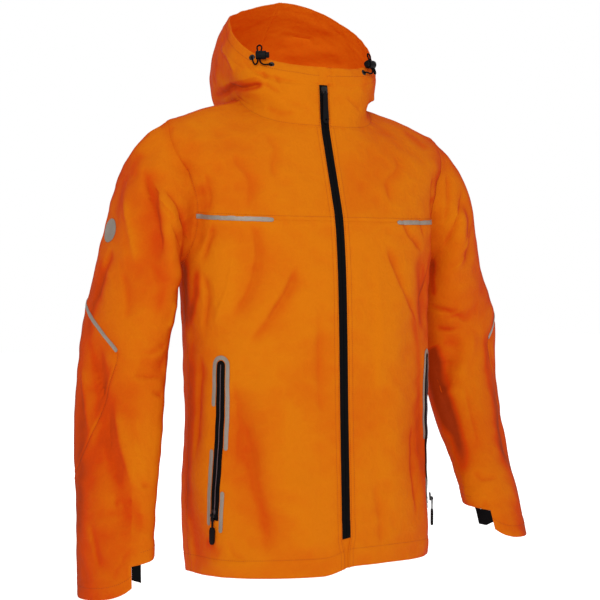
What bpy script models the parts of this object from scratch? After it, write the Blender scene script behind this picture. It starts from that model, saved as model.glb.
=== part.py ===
"""Hooded hi-vis work jacket in its worn form, every cut piece a thin wall of cloth of its own.

Metres, +Z up. The front faces -Y and +X is the wearer's left. z = 0 is the neck point, where the
shoulder seam meets the neckline, and the origin lies midway between the two neck points.
The cloth is one smooth surface, worked out from the tables of sections below. The surface is sampled
on one net of points, and each cut piece is the wall over its own faces of that net.
"""
import math
from collections import namedtuple

import bmesh
import bpy
from mathutils import Matrix, Vector
from mathutils.bvhtree import BVHTree

# Cloth and seams
CLOTH = 0.0015
SEAM_GAP = 0.0003
TRIM_RISE = 0.0003
TRIM_THICK = 0.0006

# Main zip, chest seam and pockets
ZIP_HALF = 0.007
ZIP_THICK = 0.0012
LAP_EDGE = 0.0155
PARTED_HALF = 0.0025
STRIP_HALF = 0.0035
HEM_LEVEL = -0.722
ZIP_END_LEVEL = -0.674
ARMPIT_LEVEL = -0.245
YOKE_LEVEL = -0.176
TIP_LEVEL = -0.044
NECK_LEVEL = 0.0
ZIP_TOP_LEVEL = 0.050

# Columns of the net from the zip's edge to the side, and from the side to the centre back
FRONT_COLUMNS = 10
BACK_COLUMNS = 9
ARMHOLE_ROWS = 11
RING_POINTS = 2 * ARMHOLE_ROWS
ARMHOLE_FRONT_SWING = math.radians(21)
ARMHOLE_BACK_SWING = math.radians(25)
ARMHOLE_ROUNDNESS = 0.6

# The jacket hangs a little lower on the left shoulder
SHOULDER_TILT = 0.038
TILT_FOOT = -0.260
TILT_RISE = 0.160

# The hem rises at the zip, and stays a little higher on the left front
TILT_RINGS = 8
HEM_LIFT = 0.012
HEM_LIFT_TOP = -0.600
HEM_LIFT_HEIGHT = 0.110
HEM_LIFT_START = -0.040
HEM_LIFT_WIDTH = 0.055
HEM_LIFT_FALL = (0.060, 0.130, 0.4)

# One row for each section of the body and the hood, hem to rim. A section is a superellipse whose
# height eases from its side to its front and back.
Section = namedtuple(
    "Section", "name z_side z_front z_back half_width y_front y_mid y_back power ease")
BODY = [
    Section("hem", -0.722, -0.715, -0.736, 0.1950, -0.150, 0.000, 0.126, 2.35, 1.6),
    Section("hip", -0.620, -0.612, -0.628, 0.2020, -0.146, 0.000, 0.133, 2.30, 1.6),
    Section("waist", -0.470, -0.466, -0.474, 0.1975, -0.140, 0.000, 0.128, 2.25, 1.6),
    Section("rib", -0.340, -0.340, -0.343, 0.2010, -0.136, 0.001, 0.132, 2.25, 1.6),
    Section("armpit", -0.245, -0.250, -0.248, 0.2070, -0.131, 0.003, 0.139, 2.30, 1.5),
    Section("chest seam", -0.176, -0.182, -0.180, 0.2130, -0.122, 0.004, 0.141, 2.35, 1.4),
    Section("upper chest", -0.110, -0.142, -0.120, 0.2190, -0.109, 0.006, 0.135, 2.35, 1.3),
    Section("shoulder tip", -0.044, -0.101, -0.064, 0.2260, -0.094, 0.008, 0.121, 2.25, 1.3),
    Section("mid shoulder", -0.016, -0.066, -0.020, 0.1710, -0.081, 0.008, 0.105, 2.20, 1.4),
    Section("neck", 0.000, -0.038, 0.008, 0.1110, -0.071, 0.010, 0.094, 2.20, 1.5),
    Section("hood foot", 0.012, -0.014, -0.016, 0.1080, -0.068, 0.028, 0.156, 2.35, 1.6),
    Section("hood low", 0.030, 0.008, -0.007, 0.1180, -0.066, 0.036, 0.201, 2.45, 1.7),
    Section("zip top", 0.050, 0.027, 0.040, 0.1235, -0.064, 0.034, 0.209, 2.50, 1.9),
    Section("hood side", 0.070, 0.041, 0.090, 0.1240, -0.062, 0.029, 0.195, 2.50, 2.0),
    Section("hood crown", 0.090, 0.050, 0.137, 0.1195, -0.060, 0.025, 0.158, 2.35, 1.8),
    Section("rim", 0.105, 0.055, 0.174, 0.1155, -0.059, 0.022, 0.104, 2.15, 1.4),
]

# One row for each ring of a sleeve, armhole to cuff. out is away from the body, forward is -Y.
# lean is how much further back the outer point lies than the ring's middle.
Ring = namedtuple("Ring", "step outer_out outer_z inner_out inner_z forward lean half_depth")
RIGHT_ARM = [
    Ring(0, 0.226, -0.044, 0.2070, -0.2450, -0.005, 0.000, 0.058),
    Ring(1, 0.260, -0.060, 0.2180, -0.2490, -0.008, 0.002, 0.066),
    Ring(2, 0.289, -0.094, 0.2195, -0.2550, -0.013, 0.008, 0.070),
    Ring(3, 0.303, -0.146, 0.2195, -0.2640, -0.020, 0.018, 0.071),
    Ring(4, 0.312, -0.200, 0.2190, -0.2780, -0.028, 0.026, 0.070),
    Ring(5, 0.322, -0.250, 0.2200, -0.3020, -0.035, 0.031, 0.068),
    Ring(6, 0.332, -0.300, 0.2230, -0.3350, -0.042, 0.034, 0.066),
    Ring(7, 0.341, -0.343, 0.2270, -0.3670, -0.046, 0.034, 0.064),
    Ring(8, 0.347, -0.390, 0.2310, -0.4050, -0.045, 0.034, 0.062),
    Ring(9, 0.353, -0.441, 0.2370, -0.4480, -0.038, 0.034, 0.060),
    Ring(10, 0.358, -0.495, 0.2450, -0.4960, -0.028, 0.033, 0.058),
    Ring(11, 0.363, -0.548, 0.2540, -0.5440, -0.016, 0.032, 0.057),
    Ring(12, 0.367, -0.600, 0.2620, -0.5900, -0.004, 0.030, 0.056),
    Ring(13, 0.370, -0.652, 0.2675, -0.6370, 0.006, 0.029, 0.055),
    Ring(14, 0.372, -0.702, 0.2715, -0.6830, 0.014, 0.028, 0.054),
    Ring(15, 0.372, -0.748, 0.2735, -0.7240, 0.020, 0.027, 0.054),
]
LEFT_ARM = [
    Ring(0, 0.226, -0.044, 0.2070, -0.2450, -0.005, 0.000, 0.058),
    Ring(1, 0.257, -0.058, 0.2180, -0.2490, -0.008, 0.002, 0.066),
    Ring(2, 0.284, -0.094, 0.2195, -0.2550, -0.013, 0.008, 0.070),
    Ring(3, 0.304, -0.146, 0.2195, -0.2640, -0.020, 0.018, 0.071),
    Ring(4, 0.321, -0.200, 0.2190, -0.2780, -0.028, 0.025, 0.070),
    Ring(5, 0.339, -0.250, 0.2195, -0.3020, -0.035, 0.029, 0.068),
    Ring(6, 0.363, -0.300, 0.2210, -0.3350, -0.042, 0.031, 0.066),
    Ring(7, 0.377, -0.341, 0.2230, -0.3640, -0.047, 0.029, 0.064),
    Ring(8, 0.373, -0.386, 0.2225, -0.4000, -0.042, 0.026, 0.063),
    Ring(9, 0.364, -0.432, 0.2220, -0.4400, -0.026, 0.023, 0.062),
    Ring(10, 0.356, -0.478, 0.2215, -0.4800, -0.001, 0.020, 0.061),
    Ring(11, 0.345, -0.523, 0.2230, -0.5200, 0.027, 0.018, 0.060),
    Ring(12, 0.339, -0.566, 0.2255, -0.5580, 0.054, 0.016, 0.058),
    Ring(13, 0.334, -0.606, 0.2290, -0.5950, 0.079, 0.014, 0.057),
    Ring(14, 0.332, -0.646, 0.2320, -0.6320, 0.099, 0.013, 0.056),
    Ring(15, 0.331, -0.680, 0.2350, -0.6720, 0.116, 0.012, 0.055),
]
ARMS = {"right": RIGHT_ARM, "left": LEFT_ARM}
SIGN = {"right": -1.0, "left": 1.0}

# Sleeve net: rings along the arm, with the strip's two edges and the lower edge of the elbow panel
STRIP_RINGS = (6.93, 7.07)
PANEL_LOW_RING = 11.0
PALM_RING = 14.0
TAB_RING = 14.62
FLAP_RING = 15.0
SLEEVE_RINGS = [0.0, 0.6, 1.2, 2.0, 3.0, 4.0, 5.0, 6.0, 6.93, 7.07, 7.7, 8.35, 9.0, 9.65, 10.3,
                11.0, 12.0, 13.0, 14.0, 14.62, 15.0]
PANEL_FRONT_COLUMN = 4
PANEL_BACK_COLUMN = ARMHOLE_ROWS
UNDER_COLUMNS = {"upper": (12, 20), "lower": (12, 17)}
CAP_RING = 4.0
FLAP_FRONT_COLUMN = {"right": 6, "left": 8}
FLAP_BACK_COLUMN = {"right": RING_POINTS - 5, "left": RING_POINTS - 3}
TAB_END_COLUMN = {"right": 7, "left": 10}

# One row for each large fold: the surface that it runs on, side, its two ends on that surface
# (level and degrees from the centre front, or ring and degrees from the outer side towards the
# front), half width and height. A minus is a trough.
Fold = namedtuple("Fold", "surface side a0 b0 a1 b1 half_width height")
FOLDS = [
    Fold("body", "right", -0.120, 62, -0.230, 74, 0.016, -0.006),
    Fold("body", "right", -0.200, 52, -0.330, 60, 0.022, 0.005),
    Fold("body", "right", -0.300, 22, -0.440, 40, 0.024, -0.005),
    Fold("body", "right", -0.250, 32, -0.640, 33, 0.028, 0.005),
    Fold("body", "right", -0.420, 50, -0.690, 40, 0.026, -0.005),
    Fold("body", "right", -0.560, 20, -0.700, 12, 0.026, 0.005),
    Fold("body", "left", -0.120, 62, -0.230, 74, 0.016, -0.006),
    Fold("body", "left", -0.220, 46, -0.360, 58, 0.020, -0.005),
    Fold("body", "left", -0.260, 24, -0.660, 22, 0.030, 0.005),
    Fold("body", "left", -0.400, 48, -0.600, 54, 0.024, -0.004),
    Fold("body", "left", -0.520, 76, -0.650, 74, 0.030, -0.006),
    Fold("body", "right", -0.130, 118, -0.250, 104, 0.018, -0.006),
    Fold("body", "left", -0.130, 118, -0.250, 104, 0.018, -0.006),
    Fold("body", "right", -0.260, 150, -0.620, 146, 0.030, 0.006),
    Fold("body", "left", -0.260, 152, -0.600, 150, 0.030, 0.006),
    Fold("body", "right", -0.330, 120, -0.660, 128, 0.026, -0.006),
    Fold("body", "left", -0.310, 124, -0.640, 118, 0.026, -0.006),
    Fold("body", "right", -0.470, 172, -0.690, 166, 0.026, -0.004),
    Fold("body", "right", 0.040, 62, 0.022, 128, 0.012, -0.007),
    Fold("body", "left", 0.042, 70, 0.022, 128, 0.012, -0.007),
    Fold("body", "right", 0.078, 100, 0.076, 170, 0.014, -0.006),
    Fold("body", "left", 0.080, 110, 0.076, 168, 0.014, -0.006),
    Fold("sleeve", "right", 1.4, 70, 4.6, 150, 0.017, 0.007),
    Fold("sleeve", "right", 1.2, 48, 4.4, 96, 0.016, -0.007),
    Fold("sleeve", "right", 2.4, 20, 5.0, 60, 0.018, 0.004),
    Fold("sleeve", "right", 7.2, 36, 10.6, 52, 0.017, -0.007),
    Fold("sleeve", "right", 8.0, 150, 8.2, 90, 0.014, -0.005),
    Fold("sleeve", "right", 10.6, 60, 13.0, 92, 0.018, -0.006),
    Fold("sleeve", "right", 7.0, -150, 8.6, -90, 0.017, -0.006),
    Fold("sleeve", "left", 1.4, 76, 4.6, 150, 0.017, 0.006),
    Fold("sleeve", "left", 1.2, 52, 4.4, 100, 0.016, -0.006),
    Fold("sleeve", "left", 7.4, 112, 9.4, 160, 0.018, -0.009),
    Fold("sleeve", "left", 7.2, 92, 9.0, 128, 0.014, 0.005),
    Fold("sleeve", "left", 9.4, 150, 12.4, 138, 0.017, -0.005),
    Fold("sleeve", "left", 9.0, 40, 12.5, 50, 0.018, -0.004),
    Fold("sleeve", "left", 7.0, -150, 8.6, -90, 0.017, -0.006),
]
FOLD_SAMPLES = 9
FOLD_END = 0.25

# Colours of the finishes: red, green, blue, roughness, metallic
FINISH = {
    "orange cloth": (0.71, 0.12, 0.006, 0.75, 0.0),
    "orange shaded": (0.42, 0.045, 0.006, 0.80, 0.0),
    "reflective grey": (0.26, 0.22, 0.19, 0.45, 0.2),
    "black tape": (0.008, 0.008, 0.010, 0.65, 0.0),
    "black plastic": (0.010, 0.010, 0.012, 0.40, 0.0),
    "black metal": (0.015, 0.015, 0.017, 0.35, 0.8),
}

# Pocket zip: a line down the front, from a level and an angle to another. Distances run down from
# its top, and a trim's two edges lie on both sides of the tape.
POCKET_TOP = (-0.392, math.radians(59))
POCKET_FOOT = (-0.636, math.radians(63.5))
POCKET_TURN = math.radians(48)
POCKET_TAPE_THICK = 0.001
POCKET_TRIM_GAP = 0.0012
POCKET_TRIM_WIDTH = 0.0065
TOP_TRIM_BACK_LEG = 0.070
TOP_TRIM_FRONT_LEG = 0.135
LOW_TRIM_BACK = (0.135, 0.250)
LOW_TRIM_FRONT = (0.196, 0.258)
CUTTER_DEPTH = 0.045

# Slider: foot plate from below its pin to above it, two lugs with the pin's hole
SLIDER_HALF = 0.0048
SLIDER_BELOW = 0.0034
SLIDER_ABOVE = 0.0091
SLIDER_PLATE = 0.0020
LUG_INNER = 0.0020
LUG_OUTER = 0.0038
LUG_REACH = 0.0023
LUG_TOP = 0.0058
PIN_HEIGHT = 0.0042
PIN_RADIUS = 0.0008
PIN_HOLE = 0.0011

# Pulls: outlines as distance below the pin and half width
PULL_THICK = 0.0020
BARREL_RADIUS = 0.0013
MAIN_PULL = [(0.0, 0.0017), (0.0034, 0.0017), (0.0036, 0.0033), (0.042, 0.0050), (0.0455, 0.0044),
             (0.0480, 0.0022)]
MAIN_PULL_HOLE = 0.0425
POCKET_PULL = [(0.0, 0.0017), (0.0034, 0.0017), (0.0036, 0.0028), (0.0080, 0.0028), (0.0095, 0.0013),
               (0.0175, 0.0013), (0.0185, 0.0034), (0.0225, 0.0046), (0.0400, 0.0040),
               (0.0435, 0.0022)]
GRIP = [(0.0180, 0.0030), (0.0225, 0.0046), (0.0400, 0.0040), (0.0435, 0.0022)]
GRIP_THICK = 0.0036
PULL_CLEARANCE = 0.0016

# Hood cord ends: eyelets on the hood (level, degrees), cordlock, plunger and cord
EYELETS = {"back": (0.096, 58), "front": (0.092, 38)}
EYELET_PROFILE = [(0.0017, -0.0021), (0.0030, -0.0021), (0.0030, 0.0), (0.0048, 0.0),
                  (0.0048, 0.0006), (0.0041, 0.0011), (0.0021, 0.0011), (0.0017, 0.0006)]
EYELET_HOLE = 0.0034
CORD_RADIUS = 0.00125
CORD_SPACING = 0.0026
STRAND_OFFSET = 0.00145
LOCK_PLACE = (0.097, 48)
LOCK_RISE = 0.006
LOCK_RADIUS = 0.0066
LOCK_ENDS = (-0.008, 0.007)
LOCK_SLOT = (-0.0065, -0.0003, 0.0016)
LOCK_BORE = (0.0049, 0.0012)
PLUNGER_RADIUS = 0.0046
PLUNGER_ENDS = (0.0045, 0.0120)

# Round patch on the right sleeve: ring, degrees, radius
PATCH = (3.98, 10, 0.0185)


def clear_scene():
    """Remove what the file held before."""
    for item in list(bpy.data.objects):
        bpy.data.objects.remove(item, do_unlink=True)


def material(finish):
    """A plain finish, shared by the pieces that have it."""
    made = bpy.data.materials.get(finish)
    if made:
        return made
    red, green, blue, rough, metal = FINISH[finish]
    made = bpy.data.materials.new(finish)
    made.use_nodes = True
    shader = made.node_tree.nodes["Principled BSDF"]
    shader.inputs["Base Color"].default_value = (red, green, blue, 1.0)
    shader.inputs["Roughness"].default_value = rough
    shader.inputs["Metallic"].default_value = metal
    made.diffuse_color = (red, green, blue, 1.0)
    return made


def smooth_value(knots, values, at):
    """A cubic through a table's values, with its slopes from the rows on both sides."""
    at = min(max(at, knots[0]), knots[-1])
    i = 0
    while i < len(knots) - 2 and at > knots[i + 1]:
        i += 1

    def slope(k):
        low, high = max(k - 1, 0), min(k + 1, len(knots) - 1)
        return (values[high] - values[low]) / (knots[high] - knots[low])

    span = knots[i + 1] - knots[i]
    t = (at - knots[i]) / span
    rise = (1 + 2 * t) * (1 - t) ** 2 * values[i] + t * t * (3 - 2 * t) * values[i + 1]
    return rise + span * (t * (1 - t) ** 2 * slope(i) - t * t * (1 - t) * slope(i + 1))


def row_at(table, first_column, at):
    """The table's row at any place between its rows, every column smoothed."""
    knots = [row[first_column] for row in table]
    width = len(table[0])
    values = [smooth_value(knots, [row[c] for row in table], at)
              for c in range(first_column, width)]
    return type(table[0])(*([""] * first_column + values))


def smooth_step(t):
    """0 to 1 with level ends."""
    t = min(max(t, 0.0), 1.0)
    return t * t * (3 - 2 * t)


def tilted(point):
    """Raise the right shoulder, lower the left one and lift the hem at the zip."""
    share = smooth_step((HEM_LIFT_TOP - point.z) / HEM_LIFT_HEIGHT)
    start, width, amount = HEM_LIFT_FALL
    share *= 1 - amount * smooth_step((point.x - start) / width)
    lift = HEM_LIFT * smooth_step((point.x - HEM_LIFT_START) / HEM_LIFT_WIDTH) * share
    drop = SHOULDER_TILT * point.x * smooth_step((point.z - TILT_FOOT) / TILT_RISE)
    point.z += lift - drop
    return point


def body_point(level, side, angle):
    """A point of the body or hood. The angle runs from the centre front to the centre back."""
    row = row_at(BODY, 1, level)
    along, across = math.cos(angle), math.sin(angle)
    shape = 2.0 / row.power
    front = along > 0
    reach = (row.y_front if front else row.y_back) - row.y_mid
    drop = (row.z_front if front else row.z_back) - row.z_side
    x = SIGN[side] * row.half_width * max(across, 0.0) ** shape
    y = row.y_mid + reach * abs(along) ** shape
    z = row.z_side + drop * (1 - (1 - abs(along)) ** row.ease)
    return tilted(Vector((x, y, z)))


def angle_at(level, x):
    """The angle at which a section's front is x wide of the centre."""
    row = row_at(BODY, 1, level)
    return math.asin((x / row.half_width) ** (row.power / 2))


def armhole_share(level):
    """0 at the armpit and 1 at the shoulder tip."""
    return (level - ARMPIT_LEVEL) / (TIP_LEVEL - ARMPIT_LEVEL)


def armhole_swing(level):
    """How far round the armhole has opened at this level, 0 to 1."""
    share = armhole_share(level)
    if share <= 1e-6 or share >= 1 - 1e-6:
        return 0.0
    return math.sin(math.pi * share) ** ARMHOLE_ROUNDNESS


def front_angle(level, column):
    """The angle of a front column, from the zip's edge to the side seam or the armhole."""
    edge = PARTED_HALF if level < ZIP_END_LEVEL - 1e-6 else ZIP_HALF
    first = angle_at(level, edge)
    lap = angle_at(level, LAP_EDGE)
    if column == 0:
        return first
    last = math.pi / 2 - ARMHOLE_FRONT_SWING * armhole_swing(level)
    return lap + (last - lap) * (column - 1) / (FRONT_COLUMNS - 1)


def back_angle(level, column):
    """The angle of a back column, from the centre back to the side seam or the armhole."""
    last = math.pi / 2 + ARMHOLE_BACK_SWING * armhole_swing(level)
    return math.pi + (last - math.pi) * column / BACK_COLUMNS


def ring_point(side, step, angle):
    """A point of a sleeve's plain ring. The angle runs from the outer side through the front."""
    row = row_at(ARMS[side], 0, step)
    middle = Vector(((row.outer_out + row.inner_out) / 2, row.forward,
                     (row.outer_z + row.inner_z) / 2))
    outer = Vector(((row.outer_out - row.inner_out) / 2, -row.lean,
                    (row.outer_z - row.inner_z) / 2))
    point = middle + outer * math.cos(angle) + Vector((0, row.half_depth, 0)) * math.sin(angle)
    placed = Vector((SIGN[side] * point.x, -point.y, point.z))
    return tilted(placed) if step < TILT_RINGS else placed


def armhole_point(side, angle):
    """The armhole at a ring's angle: shoulder tip, front edge, armpit, back edge."""
    turn = angle % (2 * math.pi)
    share = turn / math.pi if turn <= math.pi else (2 * math.pi - turn) / math.pi
    level = TIP_LEVEL + (ARMPIT_LEVEL - TIP_LEVEL) * share
    swing = armhole_swing(level)
    if turn <= math.pi:
        return body_point(level, side, math.pi / 2 - ARMHOLE_FRONT_SWING * swing)
    return body_point(level, side, math.pi / 2 + ARMHOLE_BACK_SWING * swing)


def sleeve_point(side, step, angle):
    """A point of a sleeve: plain rings, led into the armhole over the first three."""
    point = ring_point(side, step, angle)
    lead = 1 - smooth_step(step / 3.0)
    if lead > 0:
        point += (armhole_point(side, angle) - ring_point(side, 0, angle)) * lead
    return point


def panel_share(column):
    """0 at the middle of the elbow panel, 1 at its ends, more outside it."""
    middle = (PANEL_FRONT_COLUMN - PANEL_BACK_COLUMN) / 2
    half = (PANEL_FRONT_COLUMN + PANEL_BACK_COLUMN) / 2
    offset = (column - middle + RING_POINTS / 2) % RING_POINTS - RING_POINTS / 2
    return abs(offset) / half


def bent_step(step, column):
    """Move a ring of the net so that the panel's edges follow the strip and the leaf below it."""
    share = panel_share(column)
    hold = 1 - smooth_step((share - 1) / 0.35)
    reach = min(share, 1.0)
    strip = 5.95 + 1.70 * reach ** 1.86
    low = 8.05 + 3.45 * (1 - reach ** 3.3)
    plain = [0.0, 3.0, STRIP_RINGS[0], STRIP_RINGS[1], PANEL_LOW_RING, 13.0, FLAP_RING]
    bent = [0.0, 3.0, strip - 0.07, strip + 0.07, low, 13.0, FLAP_RING]
    for i in range(len(plain) - 1):
        if step <= plain[i + 1] + 1e-9:
            t = (step - plain[i]) / (plain[i + 1] - plain[i])
            moved = bent[i] + (bent[i + 1] - bent[i]) * t
            return step + (moved - step) * hold
    return step


def flap_step(side, step, column):
    """Round the corners of the cuff's long side."""
    back = RING_POINTS - FLAP_BACK_COLUMN[side]
    place = ((column + back) % RING_POINTS) / (back + FLAP_FRONT_COLUMN[side])
    if step <= PALM_RING or place > 1:
        return step
    rounding = abs(2 * place - 1) ** 5
    return PALM_RING + (step - PALM_RING) * (1 - 0.28 * rounding)


class Net:
    """Shared points by key, and faces grouped by the piece that they belong to."""

    def __init__(self):
        self.points = {}
        self.pieces = {}

    def add(self, piece, *keys):
        """Add a face. Its keys run anticlockwise seen from outside."""
        distinct = [key for i, key in enumerate(keys) if key != keys[i - 1]]
        self.pieces.setdefault(piece, []).append(distinct)

    def quad(self, piece, corners, mirrored=False):
        """Two triangles, split along the first and third corners on both sides of the body."""
        a, b, c, d = corners
        if mirrored:
            b, d = d, b
        self.add(piece, a, b, c)
        self.add(piece, a, c, d)

    def normals(self):
        """Outward normals, weighted by area over every piece that meets at a point."""
        sums = {key: Vector((0, 0, 0)) for key in self.points}
        for faces in self.pieces.values():
            for face in faces:
                p = [self.points[key] for key in face]
                area = (p[1] - p[0]).cross(p[2] - p[0])
                for key in face:
                    sums[key] += area
        return {key: total.normalized() for key, total in sums.items() if total.length > 0}


def body_levels():
    """The rows of the net, hem to rim, with its marked lines."""
    def spread(low, high, count):
        return [low + (high - low) * i / count for i in range(count)]

    strip = (YOKE_LEVEL - STRIP_HALF, YOKE_LEVEL, YOKE_LEVEL + STRIP_HALF)
    levels = [HEM_LEVEL, (HEM_LEVEL + ZIP_END_LEVEL) / 2]
    levels += spread(ZIP_END_LEVEL, ARMPIT_LEVEL, 13)
    levels += spread(ARMPIT_LEVEL, strip[0], 3) + list(strip)
    levels += spread(strip[2], TIP_LEVEL, 6)[1:]
    levels += spread(TIP_LEVEL, NECK_LEVEL, 3)
    levels += [row.z_side for row in BODY if row.z_side >= NECK_LEVEL]
    return levels


def front_key(levels, row, side, column):
    """A front column's key. Its last one is the back's too, except along the armhole."""
    if column == FRONT_COLUMNS and armhole_swing(levels[row]) == 0:
        return ("side", side, row)
    return ("front", side, row, column)


def back_key(levels, row, side, column):
    """A back column's key. Column 0 is the centre back, which both sides share."""
    if column == 0:
        return ("spine", row)
    if column == BACK_COLUMNS and armhole_swing(levels[row]) == 0:
        return ("side", side, row)
    return ("back", side, row, column)


def add_body(net, levels):
    """The fronts, yokes, back, zip tape and hood."""
    top = len(levels) - 1
    for row, level in enumerate(levels):
        for side in SIGN:
            for column in range(FRONT_COLUMNS + 1):
                key = front_key(levels, row, side, column)
                net.points[key] = body_point(level, side, front_angle(level, column))
            for column in range(BACK_COLUMNS + 1):
                key = back_key(levels, row, side, column)
                if key not in net.points:
                    net.points[key] = body_point(level, side, back_angle(level, column))
    for row in range(top):
        level = levels[row]
        hood = level >= NECK_LEVEL - 1e-9
        above_zip = level >= ZIP_TOP_LEVEL - 1e-9
        for side in SIGN:
            for column in range(FRONT_COLUMNS):
                if hood:
                    piece = "hood_" + ("right" if above_zip and column == 0 else side)
                elif level >= YOKE_LEVEL - 1e-9:
                    piece = "front_yoke_" + side
                else:
                    piece = "front_" + side
                corners = [front_key(levels, r, side, c) for r, c in
                           ((row, column), (row, column + 1), (row + 1, column + 1),
                            (row + 1, column))]
                net.quad(piece, corners, side == "right")
            for column in range(BACK_COLUMNS):
                if hood:
                    piece = "hood_" + side
                else:
                    piece = "back_yoke" if level >= YOKE_LEVEL - 1e-9 else "back"
                corners = [back_key(levels, r, side, c) for r, c in
                           ((row, column + 1), (row, column), (row + 1, column),
                            (row + 1, column + 1))]
                net.quad(piece, corners, side == "right")
        if level >= ZIP_END_LEVEL - 1e-9:
            piece = "hood_right" if above_zip else "main_zip_tape"
            net.quad(piece, [front_key(levels, r, side, 0) for r, side in
                             ((row, "right"), (row, "left"), (row + 1, "left"),
                              (row + 1, "right"))])


def armhole_key(levels, side, column):
    """The body's key at a ring's point, counted from the shoulder tip through the front."""
    tip = min(range(len(levels)), key=lambda r: abs(levels[r] - TIP_LEVEL))
    if column <= ARMHOLE_ROWS:
        return front_key(levels, tip - column, side, FRONT_COLUMNS)
    return back_key(levels, tip - (RING_POINTS - column), side, BACK_COLUMNS)


def add_sleeve(net, levels, side):
    """A sleeve of cap, upper, lower and under pieces, with its elbow panel and cuff tab."""
    def key(ring, column):
        column %= RING_POINTS
        if ring == 0:
            return armhole_key(levels, side, column)
        return ("sleeve", side, ring, column)

    for ring, step in enumerate(SLEEVE_RINGS):
        if ring == 0:
            continue
        for column in range(RING_POINTS):
            place = flap_step(side, bent_step(step, column), column)
            angle = 2 * math.pi * column / RING_POINTS
            net.points[key(ring, column)] = sleeve_point(side, place, angle)
    for ring in range(len(SLEEVE_RINGS) - 1):
        step = SLEEVE_RINGS[ring]
        for column in range(RING_POINTS):
            on_panel = column < PANEL_FRONT_COLUMN or column >= PANEL_BACK_COLUMN
            on_flap = column < FLAP_FRONT_COLUMN[side] or column >= FLAP_BACK_COLUMN[side]
            stretch = "upper" if step < STRIP_RINGS[1] - 1e-6 else "lower"
            under = UNDER_COLUMNS[stretch][0] <= column < UNDER_COLUMNS[stretch][1]
            piece = ("undersleeve_" if under else "sleeve_") + stretch + "_" + side
            if step < CAP_RING - 1e-6 and not under:
                piece = "sleeve_cap_" + side
            if on_panel and STRIP_RINGS[1] - 1e-6 < step < PANEL_LOW_RING - 1e-6:
                piece = "elbow_panel_" + side
            if step > PALM_RING - 1e-6 and not on_flap:
                if step > TAB_RING - 1e-6 or column >= TAB_END_COLUMN[side]:
                    continue
                piece = "cuff_tab_" + side
            corners = [key(ring, column), key(ring + 1, column), key(ring + 1, column + 1),
                       key(ring, column + 1)]
            net.quad(piece, corners, side == "left")
    for name in [name for name, point in net.points.items() if name[:2] == ("sleeve", side)]:
        if not any(name in face for faces in net.pieces.values() for face in faces):
            del net.points[name]


def fold_route(fold):
    """Points along a fold, on the surface that it runs on."""
    route = []
    for i in range(FOLD_SAMPLES):
        t = i / (FOLD_SAMPLES - 1)
        a = fold.a0 + (fold.a1 - fold.a0) * t
        b = math.radians(fold.b0 + (fold.b1 - fold.b0) * t)
        if fold.surface == "body":
            route.append(body_point(a, fold.side, b))
        else:
            route.append(sleeve_point(fold.side, a, b))
    return route


def fold_height(point, route, fold):
    """The height that one fold gives a point, softer towards its ends."""
    best, place = None, 0.0
    for i in range(len(route) - 1):
        start, line = route[i], route[i + 1] - route[i]
        t = min(max((point - start).dot(line) / line.length_squared, 0.0), 1.0)
        away = (point - start - line * t).length
        if best is None or away < best:
            best, place = away, (i + t) / (len(route) - 1)
    fade = smooth_step(min(place, 1 - place) / FOLD_END + 0.15)
    return fold.height * fade * math.exp(-(best / fold.half_width) ** 2)


def add_folds(net):
    """Raise and sink the net's points along its normals."""
    normals = net.normals()
    routes = [(fold, fold_route(fold)) for fold in FOLDS]
    for key, normal in normals.items():
        point = net.points[key]
        rise = sum(fold_height(point, route, fold) for fold, route in routes
                   if (point.x > 0) == (fold.side == "left"))
        if key[0] == "spine" or (key[0] == "front" and key[3] == 0):
            rise = 0.0
        net.points[key] = point + normal * rise


def finish_object(name, mesh, finish):
    """Put a mesh in the scene as one named piece with its own finish."""
    mesh.materials.append(material(finish))
    made = bpy.data.objects.new(name, mesh)
    bpy.context.scene.collection.objects.link(made)
    return made


def pulled_points(net, normals, faces):
    """A piece's points, those on its edge drawn back from the seam by half a gap."""
    edges = {}
    for face in faces:
        for i, key in enumerate(face):
            other = face[(i + 1) % len(face)]
            edges[(key, other)] = face
    border = [edge for edge in edges if (edge[1], edge[0]) not in edges]
    inward = {}
    for start, end in border:
        line = net.points[end] - net.points[start]
        for key in (start, end):
            aside = normals[key].cross(line).normalized()
            inward.setdefault(key, []).append(aside)
    points = {}
    for face in faces:
        for key in face:
            points[key] = net.points[key].copy()
    for key, sides in inward.items():
        total = sum(sides, Vector((0, 0, 0)))
        if total.length < 1e-6:
            continue
        direction = total.normalized()
        short = max(min(direction.dot(side) for side in sides), 0.4)
        points[key] += direction * (SEAM_GAP / 2 / short)
    return points, border


def wall_mesh(name, points, normals, faces, border, top, bottom):
    """A closed wall over a piece's faces, from its top height down to its bottom height."""
    keys = list(points)
    index = {key: i for i, key in enumerate(keys)}
    count = len(keys)
    verts = [points[key] + normals[key] * top for key in keys]
    verts += [points[key] + normals[key] * bottom for key in keys]
    polygons = [[index[key] for key in face] for face in faces]
    polygons += [[index[key] + count for key in reversed(face)] for face in faces]
    for start, end in border:
        a, b = index[start], index[end]
        if start < end:
            polygons += [[b, a, b + count], [a, a + count, b + count]]
        else:
            polygons += [[b, a, a + count], [b, a + count, b + count]]
    mesh = bpy.data.meshes.new(name)
    mesh.from_pydata(verts, [], polygons)
    mesh.validate()
    return mesh


def add_wall(net, normals, name, faces, finish, top=0.0, bottom=-CLOTH):
    """Make one piece of cloth or trim from faces of the net."""
    points, border = pulled_points(net, normals, faces)
    mesh = wall_mesh(name, points, normals, faces, border, top, bottom)
    return finish_object(name, mesh, finish)


def chosen_faces(net, test):
    """Faces of the net whose keys all pass a test."""
    return [face for faces in net.pieces.values() for face in faces
            if all(test(key) for key in face)]


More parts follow.
